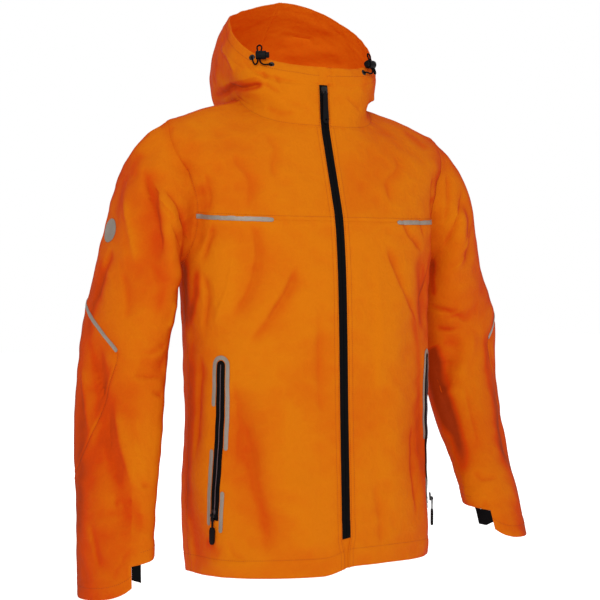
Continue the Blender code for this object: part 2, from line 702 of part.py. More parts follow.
def add_strips(net, normals, levels):
    """Reflective chest and elbow strips, over their own rows of the net."""
    low = min(range(len(levels)), key=lambda r: abs(levels[r] - (YOKE_LEVEL - STRIP_HALF)))
    rows = range(low, low + 3)
    first = SLEEVE_RINGS.index(STRIP_RINGS[0])
    for side in SIGN:
        chest = chosen_faces(net, lambda key: key[0] == "front" and key[1] == side
                             and key[2] in rows and key[3] >= 4)
        add_wall(net, normals, "chest_strip_" + side, chest, "reflective grey",
                 TRIM_RISE + TRIM_THICK, TRIM_RISE)
        elbow = chosen_faces(net, lambda key: key[:2] == ("sleeve", side)
                             and key[2] in (first, first + 1)
                             and (key[3] <= PANEL_FRONT_COLUMN or key[3] >= PANEL_BACK_COLUMN))
        add_wall(net, normals, "elbow_strip_" + side, elbow, "reflective grey",
                 TRIM_RISE + TRIM_THICK, TRIM_RISE)


def add_underlap(net, normals, levels):
    """The short flap behind the front opening, below the zip's end."""
    end = min(range(len(levels)), key=lambda r: abs(levels[r] - ZIP_END_LEVEL))
    flap = Net()
    flap.points = net.points
    for row in range(end):
        for side in SIGN:
            corners = [("front", side, r, c) for r, c in
                       ((row, 0), (row, 1), (row + 1, 1), (row + 1, 0))]
            flap.quad("flap", corners, side == "right")
        flap.quad("flap", [("front", "right", row, 0), ("front", "left", row, 0),
                           ("front", "left", row + 1, 0), ("front", "right", row + 1, 0)])
    behind = -CLOTH - TRIM_RISE
    add_wall(net, normals, "front_underlap", flap.pieces["flap"], "orange shaded",
             behind, behind - 0.001)


def circle(radius, sides, a=0.0, b=0.0):
    """An outline of a circle."""
    turns = [2 * math.pi * i / sides for i in range(sides)]
    return [(a + radius * math.cos(turn), b + radius * math.sin(turn)) for turn in turns]


def ribbon_outline(halves):
    """An outline from distances down from a pin and half widths."""
    left = [(-half, -down) for down, half in halves]
    right = [(half, -down) for down, half in reversed(halves)]
    return left + right


def slab(outline, low, high):
    """A solid from an outline that turns anticlockwise, between two heights."""
    count = len(outline)
    verts = [(a, b, low) for a, b in outline] + [(a, b, high) for a, b in outline]
    polygons = [list(range(count))[::-1], [i + count for i in range(count)]]
    polygons += [[i, (i + 1) % count, (i + 1) % count + count, i + count] for i in range(count)]
    mesh = bpy.data.meshes.new("slab")
    mesh.from_pydata(verts, [], polygons)
    return mesh


def lathed(profile, sides):
    """A ring from a profile of radius and height."""
    verts = []
    for i in range(sides):
        turn = 2 * math.pi * i / sides
        verts += [(radius * math.cos(turn), radius * math.sin(turn), height)
                  for radius, height in profile]
    count = len(profile)
    polygons = []
    for i in range(sides):
        this, following = i * count, (i + 1) % sides * count
        for j in range(count):
            k = (j + 1) % count
            polygons.append([this + j, following + j, following + k, this + k])
    mesh = bpy.data.meshes.new("ring")
    mesh.from_pydata(verts, [], polygons)
    return mesh


def along_width(mesh):
    """Turn a solid drawn in (height, depth) so that its own length runs across."""
    mesh.transform(Matrix(((0, 0, 1, 0), (1, 0, 0, 0), (0, 1, 0, 0), (0, 0, 0, 1))))
    return mesh


def along_height(mesh):
    """Turn a solid drawn in (depth, width) so that its own length runs upwards."""
    mesh.transform(Matrix(((0, 1, 0, 0), (0, 0, 1, 0), (1, 0, 0, 0), (0, 0, 0, 1))))
    return mesh


def frame_at(origin, across, up, out):
    """A frame from its origin and its three directions."""
    frame = Matrix((across, up, out)).transposed().to_4x4()
    frame.translation = origin
    return frame


def frame_on(origin, up, out):
    """A frame whose third direction is out, and whose second is as near to up as it can be."""
    out = out.normalized()
    across = up.cross(out).normalized()
    return frame_at(origin, across, out.cross(across), out)


def shape(made, operation, mesh):
    """Join a solid to a piece, cut it away, or keep what both share."""
    tool = bpy.data.objects.new("tool", mesh)
    bpy.context.scene.collection.objects.link(tool)
    tool.matrix_world = made.matrix_world
    change = made.modifiers.new(operation, "BOOLEAN")
    change.operation = operation
    change.solver = "EXACT"
    change.object = tool
    graph = bpy.context.evaluated_depsgraph_get()
    graph.update()
    result = bpy.data.meshes.new_from_object(made.evaluated_get(graph))
    made.modifiers.clear()
    made.data = result
    bpy.data.objects.remove(tool, do_unlink=True)


def solid(name, frame, base, finish, steps=()):
    """One hard piece: a first solid, changed by others, placed by its frame."""
    work = bmesh.new()
    work.from_mesh(base)
    bmesh.ops.recalc_face_normals(work, faces=work.faces)
    work.to_mesh(base)
    work.free()
    made = finish_object(name, base, finish)
    for operation, mesh in steps:
        shape(made, operation, mesh)
    made.matrix_world = frame
    return made


def surface_tree(net):
    """The cloth's outer surface, for measuring distances."""
    index = {key: i for i, key in enumerate(net.points)}
    faces = [[index[key] for key in face] for faces in net.pieces.values() for face in faces]
    return BVHTree.FromPolygons(list(net.points.values()), faces)


def seated(tree, near, up, half_width, half_length, rise):
    """A frame that lies on the cloth near a point, clear of its highest place by rise."""
    spot, out = tree.find_nearest(near)[:2]
    for _ in range(2):
        frame = frame_on(spot, up, out)
        across, along, out = (frame.col[i].to_3d() for i in range(3))
        hits = []
        for u in (-half_width, 0, half_width):
            for v in (-half_length, 0, half_length):
                hits.append(tree.ray_cast(spot + across * u + along * v + out * 0.02, -out, 0.04))
        hits = [hit for hit in hits if hit[0] is not None]
        high = max((hit[0] - spot).dot(out) for hit in hits)
        out = sum((hit[1] for hit in hits), Vector((0, 0, 0)))
    return frame @ Matrix.Translation((0, 0, high + rise))


def add_slider(name, frame):
    """A zip slider. Its frame lies under its pin."""
    half = SLIDER_HALF
    plate = slab([(-half * 0.7, -SLIDER_BELOW), (half * 0.7, -SLIDER_BELOW), (half, 0.003),
                  (half, SLIDER_ABOVE - 0.002), (half * 0.7, SLIDER_ABOVE),
                  (-half * 0.7, SLIDER_ABOVE), (-half, SLIDER_ABOVE - 0.002), (-half, 0.003)],
                 0.0, SLIDER_PLATE)
    steps = []
    for sign in (-1, 1):
        lug = [(-LUG_REACH, 0.0012), (LUG_REACH, 0.0012), (LUG_REACH, LUG_TOP - 0.001),
               (LUG_REACH - 0.001, LUG_TOP), (0.001 - LUG_REACH, LUG_TOP),
               (-LUG_REACH, LUG_TOP - 0.001)]
        low, high = sorted((sign * LUG_INNER, sign * LUG_OUTER))
        steps.append(("UNION", along_width(slab(lug, low, high))))
    hole = slab(circle(PIN_HOLE, 12, 0.0, PIN_HEIGHT), -half, half)
    steps.append(("DIFFERENCE", along_width(hole)))
    return solid(name, frame, plate, "black metal", steps)


def pull_frame(tree, slider, length, half_width):
    """A pull's frame on its pin: plumb, or leaning out until it clears the cloth."""
    pin = slider @ Vector((0, 0, PIN_HEIGHT))
    across = slider.col[0].to_3d()
    plumb = (Vector((0, 0, 1)) - across * across.z).normalized()
    away = across.cross(plumb)
    for lean in range(60):
        turn = math.radians(lean)
        up = plumb * math.cos(turn) - away * math.sin(turn)
        out = across.cross(up)
        clear = True
        down = 0.004
        while clear and down < length + 0.001:
            for u in (-half_width, 0.0, half_width):
                spot = pin + across * u - up * down - out * (GRIP_THICK / 2)
                hit = tree.ray_cast(spot + out * 0.03, -out, 0.06)[0]
                if hit is not None and (spot - hit).dot(out) < PULL_CLEARANCE:
                    clear = False
            down += 0.004
        if clear:
            break
    return frame_at(pin, across, up, out)


def add_pull(name, frame, halves, steps, finish):
    """A zip pull with its barrel and the pin that turns in the slider's lugs."""
    plate = slab(ribbon_outline(halves), -PULL_THICK / 2, PULL_THICK / 2)
    barrel = along_width(slab(circle(BARREL_RADIUS, 12), -0.0017, 0.0017))
    pin = along_width(slab(circle(PIN_RADIUS, 12), -LUG_OUTER + 0.0003, LUG_OUTER - 0.0003))
    return solid(name, frame, plate, finish, [("UNION", barrel), ("UNION", pin)] + steps)


def add_main_zip_parts(net, tree, levels):
    """The main zip's slider and pull tab, below the chin guard."""
    top = levels.index(ZIP_TOP_LEVEL)
    middle = [(net.points[("front", "right", row, 0)] + net.points[("front", "left", row, 0)]) / 2
              for row in (top - 1, top)]
    up = (middle[1] - middle[0]).normalized()
    foot = middle[1] - up * (SLIDER_ABOVE + 0.0025)
    out = Vector((1, 0, 0)).cross(up)
    slider = frame_at(foot + out * SEAM_GAP, Vector((1, 0, 0)), up, out)
    add_slider("main_slider", slider)
    frame = pull_frame(tree, slider, MAIN_PULL[-1][0], MAIN_PULL[-3][1])
    hole = slab(circle(0.0016, 12, 0.0, -MAIN_PULL_HOLE), -0.01, 0.01)
    add_pull("main_pull", frame, MAIN_PULL, [("DIFFERENCE", hole)], "black plastic")


def add_pocket(net, normals, tree, side):
    """A pocket's zip tape, its trims, slider and pull."""
    top = body_point(POCKET_TOP[0], side, POCKET_TOP[1])
    foot = body_point(POCKET_FOOT[0], side, POCKET_FOOT[1])
    length = (top - foot).length
    out = Vector((SIGN[side] * math.sin(POCKET_TURN), -math.cos(POCKET_TURN), 0))
    frame = frame_on(top, top - foot, out)
    front = -SIGN[side]
    faces = chosen_faces(net, lambda key: key[0] == "front" and key[1] == side
                         and 3 <= key[3] <= 9
                         and (net.points[key] - (top + foot) / 2).length < length / 2 + 0.05)

    def lay(name, outline, thick, finish):
        points, border = pulled_points(net, normals, faces)
        shell = wall_mesh(name, points, normals, faces, border, TRIM_RISE + thick, TRIM_RISE)
        made = finish_object(name, shell, finish)
        cutter = slab(outline, -CUTTER_DEPTH / 2, CUTTER_DEPTH / 2)
        cutter.transform(frame)
        shape(made, "INTERSECT", cutter)

    centre = -ZIP_HALF
    arc = [math.pi * i / 10 for i in range(11)]
    tape = [(ZIP_HALF * math.cos(t), centre + ZIP_HALF * math.sin(t)) for t in arc]
    tape += [(-ZIP_HALF, -length), (ZIP_HALF, -length)]
    lay("pocket_zip_tape_" + side, tape, POCKET_TAPE_THICK, "black tape")

    inner = ZIP_HALF + POCKET_TRIM_GAP
    outer = inner + POCKET_TRIM_WIDTH
    legs = {front: -TOP_TRIM_FRONT_LEG, -front: -TOP_TRIM_BACK_LEG}
    loop = [(outer, legs[1])]
    loop += [(outer * math.cos(t), centre + outer * math.sin(t)) for t in arc]
    loop += [(-outer, legs[-1]), (-inner, legs[-1])]
    loop += [(inner * math.cos(t), centre + inner * math.sin(t)) for t in reversed(arc)]
    loop += [(inner, legs[1])]
    lay("pocket_trim_top_" + side, loop, TRIM_THICK, "reflective grey")
    for where, hand, span in (("front", front, LOW_TRIM_FRONT), ("back", -front, LOW_TRIM_BACK)):
        left, right = sorted((hand * inner, hand * outer))
        bar = [(left, -span[1]), (right, -span[1]), (right, -span[0]), (left, -span[0])]
        lay("pocket_trim_" + where + "_" + side, bar, TRIM_THICK, "reflective grey")

    near = frame @ Vector((0, -length + 0.007, 0))
    rise = TRIM_RISE + POCKET_TAPE_THICK + SEAM_GAP
    slider = seated(tree, near, top - foot, SLIDER_HALF, 0.007, rise)
    add_slider("pocket_slider_" + side, slider)
    hang = pull_frame(tree, slider, POCKET_PULL[-1][0], 0.0046)
    grip = slab(ribbon_outline(GRIP), -GRIP_THICK / 2, GRIP_THICK / 2)
    add_pull("pocket_pull_" + side, hang, POCKET_PULL, [("UNION", grip)], "black plastic")


def smooth_path(points, spacing):
    """Points at even spacing along a smooth line through the given ones."""
    line = []
    for i in range(len(points) - 1):
        before, start = points[max(i - 1, 0)], points[i]
        end, after = points[i + 1], points[min(i + 2, len(points) - 1)]
        for k in range(12):
            t = k / 12
            line.append(0.5 * (2 * start + (end - before) * t
                               + (2 * before - 5 * start + 4 * end - after) * t * t
                               + (3 * start - before - 3 * end + after) * t ** 3))
    line.append(points[-1])
    travelled = [0.0]
    for a, b in zip(line, line[1:]):
        travelled.append(travelled[-1] + (b - a).length)
    count = max(2, round(travelled[-1] / spacing))
    even, j = [], 0
    for i in range(count + 1):
        at = travelled[-1] * i / count
        while j < len(line) - 2 and travelled[j + 1] < at:
            j += 1
        span = travelled[j + 1] - travelled[j]
        even.append(line[j].lerp(line[j + 1], min((at - travelled[j]) / span, 1.0)))
    return even


def add_cord(name, points, radius, finish):
    """A round cord along a line of points."""
    curve = bpy.data.curves.new(name, "CURVE")
    curve.dimensions = "3D"
    curve.bevel_depth = radius
    curve.bevel_resolution = 2
    curve.use_fill_caps = True
    spline = curve.splines.new("POLY")
    spline.points.add(len(points) - 1)
    for place, point in zip(spline.points, points):
        place.co = (*point, 1.0)
    return finish_object(name, curve, finish)


def add_hood_cord(tree, hood, side):
    """Two eyelets, a cordlock with its plunger, and the cord that joins them."""
    rise = Vector((0, 0, 1))
    spots = {}
    for where, (level, turn) in EYELETS.items():
        near = body_point(level, side, math.radians(turn))
        frame = seated(tree, near, rise, 0.0042, 0.0042, SEAM_GAP)
        hole = slab(circle(EYELET_HOLE, 16), -0.006, 0.004)
        hole.transform(frame)
        shape(hood, "DIFFERENCE", hole)
        solid("eyelet_" + where + "_" + side, frame, lathed(EYELET_PROFILE, 16), "black metal")
        spots[where] = frame

    near = body_point(LOCK_PLACE[0], side, math.radians(LOCK_PLACE[1]))
    foot = seated(tree, near, rise, LOCK_ENDS[1], LOCK_RADIUS, 0.0005)
    lock = foot @ Matrix.Translation((0, LOCK_RISE, LOCK_RADIUS))
    front = -SIGN[side]
    turned = lock if front > 0 else lock @ Matrix.Rotation(math.pi, 4, "Y")
    low, high, half = LOCK_SLOT
    slot = along_height(slab([(-half, low), (half, low), (half, high), (-half, high)],
                             -0.01, 0.01))
    barrel = along_width(slab(circle(LOCK_RADIUS, 20), *LOCK_ENDS))
    bore = along_width(slab(circle(LOCK_BORE[0], 20), LOCK_BORE[1], 0.02))
    solid("cordlock_" + side, turned, barrel, "black plastic",
          [("DIFFERENCE", slot), ("DIFFERENCE", bore)])
    plunger = along_width(slab(circle(PLUNGER_RADIUS, 20), *PLUNGER_ENDS))
    solid("cordlock_plunger_" + side, turned, plunger, "black plastic")

    middle = (low + high) / 2
    back, fore = middle - STRAND_OFFSET, middle + STRAND_OFFSET
    strand = [(-0.0100, -0.0135, -0.0010), (back - 0.0013, -0.0120, -0.0003),
              (back, -0.0085, 0), (back, -0.0040, 0), (back, 0.0040, 0), (back, 0.0075, 0),
              (back - 0.0004, 0.0095, 0), (middle - 0.0022, 0.0115, 0), (middle, 0.0142, 0),
              (middle + 0.0022, 0.0115, 0), (fore + 0.0004, 0.0095, 0), (fore, 0.0075, 0),
              (fore, 0.0040, 0), (fore, -0.0040, 0), (fore, -0.0085, 0),
              (fore + 0.0013, -0.0125, -0.0003), (0.0050, -0.0160, -0.0010)]
    through = [-0.006, -0.003, 0.0, 0.002, 0.004]
    points = [spots["back"] @ Vector((0, 0, w)) for w in through]
    points += [lock @ Vector((front * h, v, n)) for h, v, n in strand]
    points += [spots["front"] @ Vector((0, 0, w)) for w in reversed(through)]
    add_cord("hood_cord_" + side, smooth_path(points, CORD_SPACING), CORD_RADIUS, "black tape")


def add_patch(net, normals, tree):
    """The plain round patch on the right upper sleeve."""
    step, turn, radius = PATCH
    spot, out = tree.find_nearest(sleeve_point("right", step, math.radians(turn)))[:2]
    faces = chosen_faces(net, lambda key: key[0] == "sleeve" and key[1] == "right"
                         and (net.points[key] - spot).length < 0.07)
    points, border = pulled_points(net, normals, faces)
    shell = wall_mesh("round_patch", points, normals, faces, border, TRIM_RISE + TRIM_THICK,
                      TRIM_RISE)
    made = finish_object("round_patch", shell, "reflective grey")
    cutter = slab(circle(radius, 28), -0.02, 0.02)
    cutter.transform(frame_on(spot, Vector((0, 0, 1)), out))
    shape(made, "INTERSECT", cutter)


def main():
    """Build the jacket."""
    clear_scene()
    net = Net()
    levels = body_levels()
    add_body(net, levels)
    for side in SIGN:
        add_sleeve(net, levels, side)
    add_folds(net)
    normals = net.normals()
    tree = surface_tree(net)
    made = {}
    for piece, faces in net.pieces.items():
        if piece == "main_zip_tape":
            add_wall(net, normals, piece, faces, "black tape", 0.0, -ZIP_THICK)
        elif piece.startswith("cuff_tab"):
            add_wall(net, normals, piece, faces, "black tape")
        else:
            made[piece] = add_wall(net, normals, piece, faces, "orange cloth")
    add_strips(net, normals, levels)
    add_underlap(net, normals, levels)
    add_patch(net, normals, tree)
    add_main_zip_parts(net, tree, levels)
    for side in SIGN:
        add_pocket(net, normals, tree, side)
        add_hood_cord(tree, made["hood_" + side], side)


main()
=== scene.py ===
"""The hooded hi-vis work jacket, dressed for its picture.

Metres, +Z up, the front faces -Y and +X is the wearer's left. The cloth follows the same tables of
sections and rings as the plain solids. Here it is worked out on a finer net, with the creases, seams,
hems, stitching and finishes of the real one.
"""

import math
from collections import namedtuple

import bmesh
import bpy
import numpy as np
from mathutils import Matrix, Vector
from mathutils.bvhtree import BVHTree
from mathutils.kdtree import KDTree


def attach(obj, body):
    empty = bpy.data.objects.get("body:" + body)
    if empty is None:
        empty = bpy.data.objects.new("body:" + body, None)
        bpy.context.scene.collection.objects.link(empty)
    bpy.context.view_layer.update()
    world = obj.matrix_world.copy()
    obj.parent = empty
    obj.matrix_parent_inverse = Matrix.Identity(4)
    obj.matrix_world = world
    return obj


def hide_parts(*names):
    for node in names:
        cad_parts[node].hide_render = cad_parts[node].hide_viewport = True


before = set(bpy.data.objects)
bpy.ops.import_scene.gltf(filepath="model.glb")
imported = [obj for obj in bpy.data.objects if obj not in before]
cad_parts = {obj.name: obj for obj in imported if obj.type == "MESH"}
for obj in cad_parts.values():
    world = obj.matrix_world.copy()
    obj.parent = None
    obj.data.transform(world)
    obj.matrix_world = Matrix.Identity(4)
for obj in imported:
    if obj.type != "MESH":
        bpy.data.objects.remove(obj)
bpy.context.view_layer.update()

# Cloth, trim and the spacing of the net
CLOTH = 0.0012
SEAM_GAP = 0.0001
TRIM_RISE = 0.0003
TRIM_THICK = 0.0007
UNDERLAP_THICK = 0.0010
STRIP_CROWN = [0, 0.0002, 0.0003, 0.0002, 0]
NET_SPACING = 0.0035
BESIDE_SEAM = (0.0011, 0.0028)
LEAST_SPACING = 0.0008
# The close lines beside a seam stay within this share of a strip. Above the shoulder tip the cloth
# is so much longer than its rise in level.
BESIDE_SHARE = 0.45
SLOPE_ABOVE_TIP = 2.2

# Levels and columns of the net, as in the solids
ZIP_HALF = 0.007
LAP_EDGE = 0.0155
PARTED_HALF = 0.0025
STRIP_HALF = 0.0035
ELBOW_STRIP_HALF = 0.0036
HEM_LEVEL = -0.722
ZIP_END_LEVEL = -0.674
ARMPIT_LEVEL = -0.245
YOKE_LEVEL = -0.176
TIP_LEVEL = -0.044
NECK_LEVEL = 0.0
ZIP_TOP_LEVEL = 0.050
FRONT_COLUMNS = 10
BACK_COLUMNS = 9
LAP_WIDTH = 0.0085
FRONT_COLUMN_WIDTH = 0.030
BACK_COLUMN_WIDTH = 0.032
RING_SPACING = 0.052
ARMHOLE_ROWS = 11
RING_POINTS = 2 * ARMHOLE_ROWS
ARMHOLE_FRONT_SWING = math.radians(21)
ARMHOLE_BACK_SWING = math.radians(25)
ARMHOLE_ROUNDNESS = 0.6
SHOULDER_TILT = 0.038
TILT_FOOT = -0.260
TILT_RISE = 0.160
TILT_RINGS = 8
HEM_LIFT = 0.012
HEM_LIFT_TOP = -0.600
HEM_LIFT_HEIGHT = 0.110
HEM_LIFT_START = -0.040
HEM_LIFT_WIDTH = 0.055
HEM_LIFT_FALL = (0.060, 0.130, 0.4)

# name, z_side, z_front, z_back, half_width, y_front, y_mid, y_back, power, ease
BODY = [
    ("hem", -0.722, -0.715, -0.736, 0.1950, -0.150, 0.000, 0.126, 2.35, 1.6),
    ("hip", -0.620, -0.612, -0.628, 0.2020, -0.146, 0.000, 0.133, 2.30, 1.6),
    ("waist", -0.470, -0.466, -0.474, 0.1975, -0.140, 0.000, 0.128, 2.25, 1.6),
    ("rib", -0.340, -0.340, -0.343, 0.2010, -0.136, 0.001, 0.132, 2.25, 1.6),
    ("armpit", -0.245, -0.250, -0.248, 0.2070, -0.131, 0.003, 0.139, 2.30, 1.5),
    ("chest seam", -0.176, -0.182, -0.180, 0.2130, -0.122, 0.004, 0.141, 2.35, 1.4),
    ("upper chest", -0.110, -0.142, -0.120, 0.2190, -0.109, 0.006, 0.135, 2.35, 1.3),
    ("shoulder tip", -0.044, -0.101, -0.064, 0.2260, -0.094, 0.008, 0.121, 2.25, 1.3),
    ("mid shoulder", -0.016, -0.066, -0.020, 0.1710, -0.081, 0.008, 0.105, 2.20, 1.4),
    ("neck", 0.000, -0.038, 0.008, 0.1110, -0.071, 0.010, 0.094, 2.20, 1.5),
    ("hood foot", 0.012, -0.014, -0.016, 0.1080, -0.068, 0.028, 0.156, 2.35, 1.6),
    ("hood low", 0.030, 0.008, -0.007, 0.1180, -0.066, 0.036, 0.201, 2.45, 1.7),
    ("zip top", 0.050, 0.027, 0.040, 0.1235, -0.064, 0.034, 0.209, 2.50, 1.9),
    ("hood side", 0.070, 0.041, 0.090, 0.1240, -0.062, 0.029, 0.195, 2.50, 2.0),
    ("hood crown", 0.090, 0.050, 0.137, 0.1195, -0.060, 0.025, 0.158, 2.35, 1.8),
    ("rim", 0.105, 0.055, 0.174, 0.1155, -0.059, 0.022, 0.104, 2.15, 1.4),
]

# step, outer_out, outer_z, inner_out, inner_z, forward, lean, half_depth
ARMS = {
    "right": [
        (0, 0.226, -0.044, 0.2070, -0.2450, -0.005, 0.000, 0.058),
        (1, 0.260, -0.060, 0.2180, -0.2490, -0.008, 0.002, 0.066),
        (2, 0.289, -0.094, 0.2195, -0.2550, -0.013, 0.008, 0.070),
        (3, 0.303, -0.146, 0.2195, -0.2640, -0.020, 0.018, 0.071),
        (4, 0.312, -0.200, 0.2190, -0.2780, -0.028, 0.026, 0.070),
        (5, 0.322, -0.250, 0.2200, -0.3020, -0.035, 0.031, 0.068),
        (6, 0.332, -0.300, 0.2230, -0.3350, -0.042, 0.034, 0.066),
        (7, 0.341, -0.343, 0.2270, -0.3670, -0.046, 0.034, 0.064),
        (8, 0.347, -0.390, 0.2310, -0.4050, -0.045, 0.034, 0.062),
        (9, 0.353, -0.441, 0.2370, -0.4480, -0.038, 0.034, 0.060),
        (10, 0.358, -0.495, 0.2450, -0.4960, -0.028, 0.033, 0.058),
        (11, 0.363, -0.548, 0.2540, -0.5440, -0.016, 0.032, 0.057),
        (12, 0.367, -0.600, 0.2620, -0.5900, -0.004, 0.030, 0.056),
        (13, 0.370, -0.652, 0.2675, -0.6370, 0.006, 0.029, 0.055),
        (14, 0.372, -0.702, 0.2715, -0.6830, 0.014, 0.028, 0.054),
        (15, 0.372, -0.748, 0.2735, -0.7240, 0.020, 0.027, 0.054),
    ],
    "left": [
        (0, 0.226, -0.044, 0.2070, -0.2450, -0.005, 0.000, 0.058),
        (1, 0.257, -0.058, 0.2180, -0.2490, -0.008, 0.002, 0.066),
        (2, 0.284, -0.094, 0.2195, -0.2550, -0.013, 0.008, 0.070),
        (3, 0.304, -0.146, 0.2195, -0.2640, -0.020, 0.018, 0.071),
        (4, 0.321, -0.200, 0.2190, -0.2780, -0.028, 0.025, 0.070),
        (5, 0.339, -0.250, 0.2195, -0.3020, -0.035, 0.029, 0.068),
        (6, 0.363, -0.300, 0.2210, -0.3350, -0.042, 0.031, 0.066),
        (7, 0.377, -0.341, 0.2230, -0.3640, -0.047, 0.029, 0.064),
        (8, 0.373, -0.386, 0.2225, -0.4000, -0.042, 0.026, 0.063),
        (9, 0.364, -0.432, 0.2220, -0.4400, -0.026, 0.023, 0.062),
        (10, 0.356, -0.478, 0.2215, -0.4800, -0.001, 0.020, 0.061),
        (11, 0.345, -0.523, 0.2230, -0.5200, 0.027, 0.018, 0.060),
        (12, 0.339, -0.566, 0.2255, -0.5580, 0.054, 0.016, 0.058),
        (13, 0.334, -0.606, 0.2290, -0.5950, 0.079, 0.014, 0.057),
        (14, 0.332, -0.646, 0.2320, -0.6320, 0.099, 0.013, 0.056),
        (15, 0.331, -0.680, 0.2350, -0.6720, 0.116, 0.012, 0.055),
    ],
}
SIGN = {"right": -1.0, "left": 1.0}
STRIP_RINGS = (6.93, 7.07)
PANEL_LOW_RING = 11.0
# Where the strip and the leaf below it run: the ring at one end of the bend, its rise and its power
STRIP_BEND = (5.95, 1.70, 1.86)
LEAF_BEND = (8.05, 3.45, 3.3)
BEND_RINGS = (3.0, 13.0)
BEND_FADE = 0.35
PALM_RING = 14.0
CORNER_POWER = 5
CORNER_CUT = 0.28
TAB_RING = 14.62
FLAP_RING = 15.0
SLEEVE_RINGS = [0.0, 0.6, 1.2, 2.0, 3.0, 4.0, 5.0, 6.0, 6.93, 7.07, 7.7, 8.35, 9.0, 9.65, 10.3,
                11.0, 12.0, 13.0, 14.0, 14.62, 15.0]
PANEL_FRONT_COLUMN = 4
PANEL_BACK_COLUMN = ARMHOLE_ROWS
UNDER_COLUMNS = {"upper": (12, 20), "lower": (12, 17)}
FLAP_FRONT_COLUMN = {"right": 6, "left": 8}
FLAP_BACK_COLUMN = {"right": RING_POINTS - 5, "left": RING_POINTS - 3}
TAB_END_COLUMN = {"right": 7, "left": 10}

Fold = namedtuple("Fold", "surface side half_width height places")


def folds_of(groups):
    """The folds of a table that is grouped by surface and side."""
    return [Fold(*place, *row) for place, rows in groups.items() for row in rows]


# The large folds, as in the solids, then the smaller creases. A row gives the half width, the height
# and the places that a fold runs through: level and degrees from the centre front, or ring and
# degrees from the outer side towards the front. A minus height is a trough.
FOLDS = folds_of({
    ("body", "right"): [
        (0.016, -0.006, [(-0.120, 62), (-0.230, 74)]),
        (0.022, 0.005, [(-0.200, 52), (-0.330, 60)]),
        (0.024, -0.005, [(-0.300, 22), (-0.440, 40)]),
        (0.028, 0.005, [(-0.250, 32), (-0.640, 33)]),
        (0.026, -0.005, [(-0.420, 50), (-0.690, 40)]),
        (0.026, 0.005, [(-0.560, 20), (-0.700, 12)]),
        (0.018, -0.006, [(-0.130, 118), (-0.250, 104)]),
        (0.030, 0.006, [(-0.260, 150), (-0.620, 146)]),
        (0.026, -0.006, [(-0.330, 120), (-0.660, 128)]),
        (0.026, -0.004, [(-0.470, 172), (-0.690, 166)]),
        (0.012, -0.003, [(0.040, 62), (0.022, 128)]),
        (0.014, -0.005, [(0.078, 126), (0.076, 170)]),
    ],
    ("body", "left"): [
        (0.016, -0.006, [(-0.120, 62), (-0.230, 74)]),
        (0.020, -0.005, [(-0.220, 46), (-0.360, 58)]),
        (0.030, 0.005, [(-0.260, 24), (-0.660, 22)]),
        (0.024, -0.004, [(-0.400, 48), (-0.600, 54)]),
        (0.030, -0.006, [(-0.520, 76), (-0.650, 74)]),
        (0.018, -0.006, [(-0.130, 118), (-0.250, 104)]),
        (0.030, 0.006, [(-0.260, 152), (-0.600, 150)]),
        (0.026, -0.006, [(-0.310, 124), (-0.640, 118)]),
        (0.012, -0.007, [(0.042, 70), (0.022, 128)]),
        (0.014, -0.006, [(0.080, 110), (0.076, 168)]),
    ],
    ("sleeve", "right"): [
        (0.017, 0.007, [(1.4, 70), (4.6, 150)]),
        (0.016, -0.007, [(1.2, 48), (4.4, 96)]),
        (0.018, 0.004, [(2.4, 20), (5.0, 60)]),
        (0.017, -0.007, [(7.2, 36), (10.6, 52)]),
        (0.014, -0.005, [(8.0, 150), (8.2, 90)]),
        (0.018, -0.006, [(10.6, 60), (13.0, 92)]),
        (0.017, -0.006, [(7.0, -150), (8.6, -90)]),
    ],
    ("sleeve", "left"): [
        (0.017, 0.006, [(1.4, 76), (4.6, 150)]),
        (0.016, -0.006, [(1.2, 52), (4.4, 100)]),
        (0.018, -0.009, [(7.4, 112), (9.4, 160)]),
        (0.014, 0.005, [(7.2, 92), (9.0, 128)]),
        (0.017, -0.005, [(9.4, 150), (12.4, 138)]),
        (0.018, -0.004, [(9.0, 40), (12.5, 50)]),
        (0.017, -0.006, [(7.0, -150), (8.6, -90)]),
    ],
})
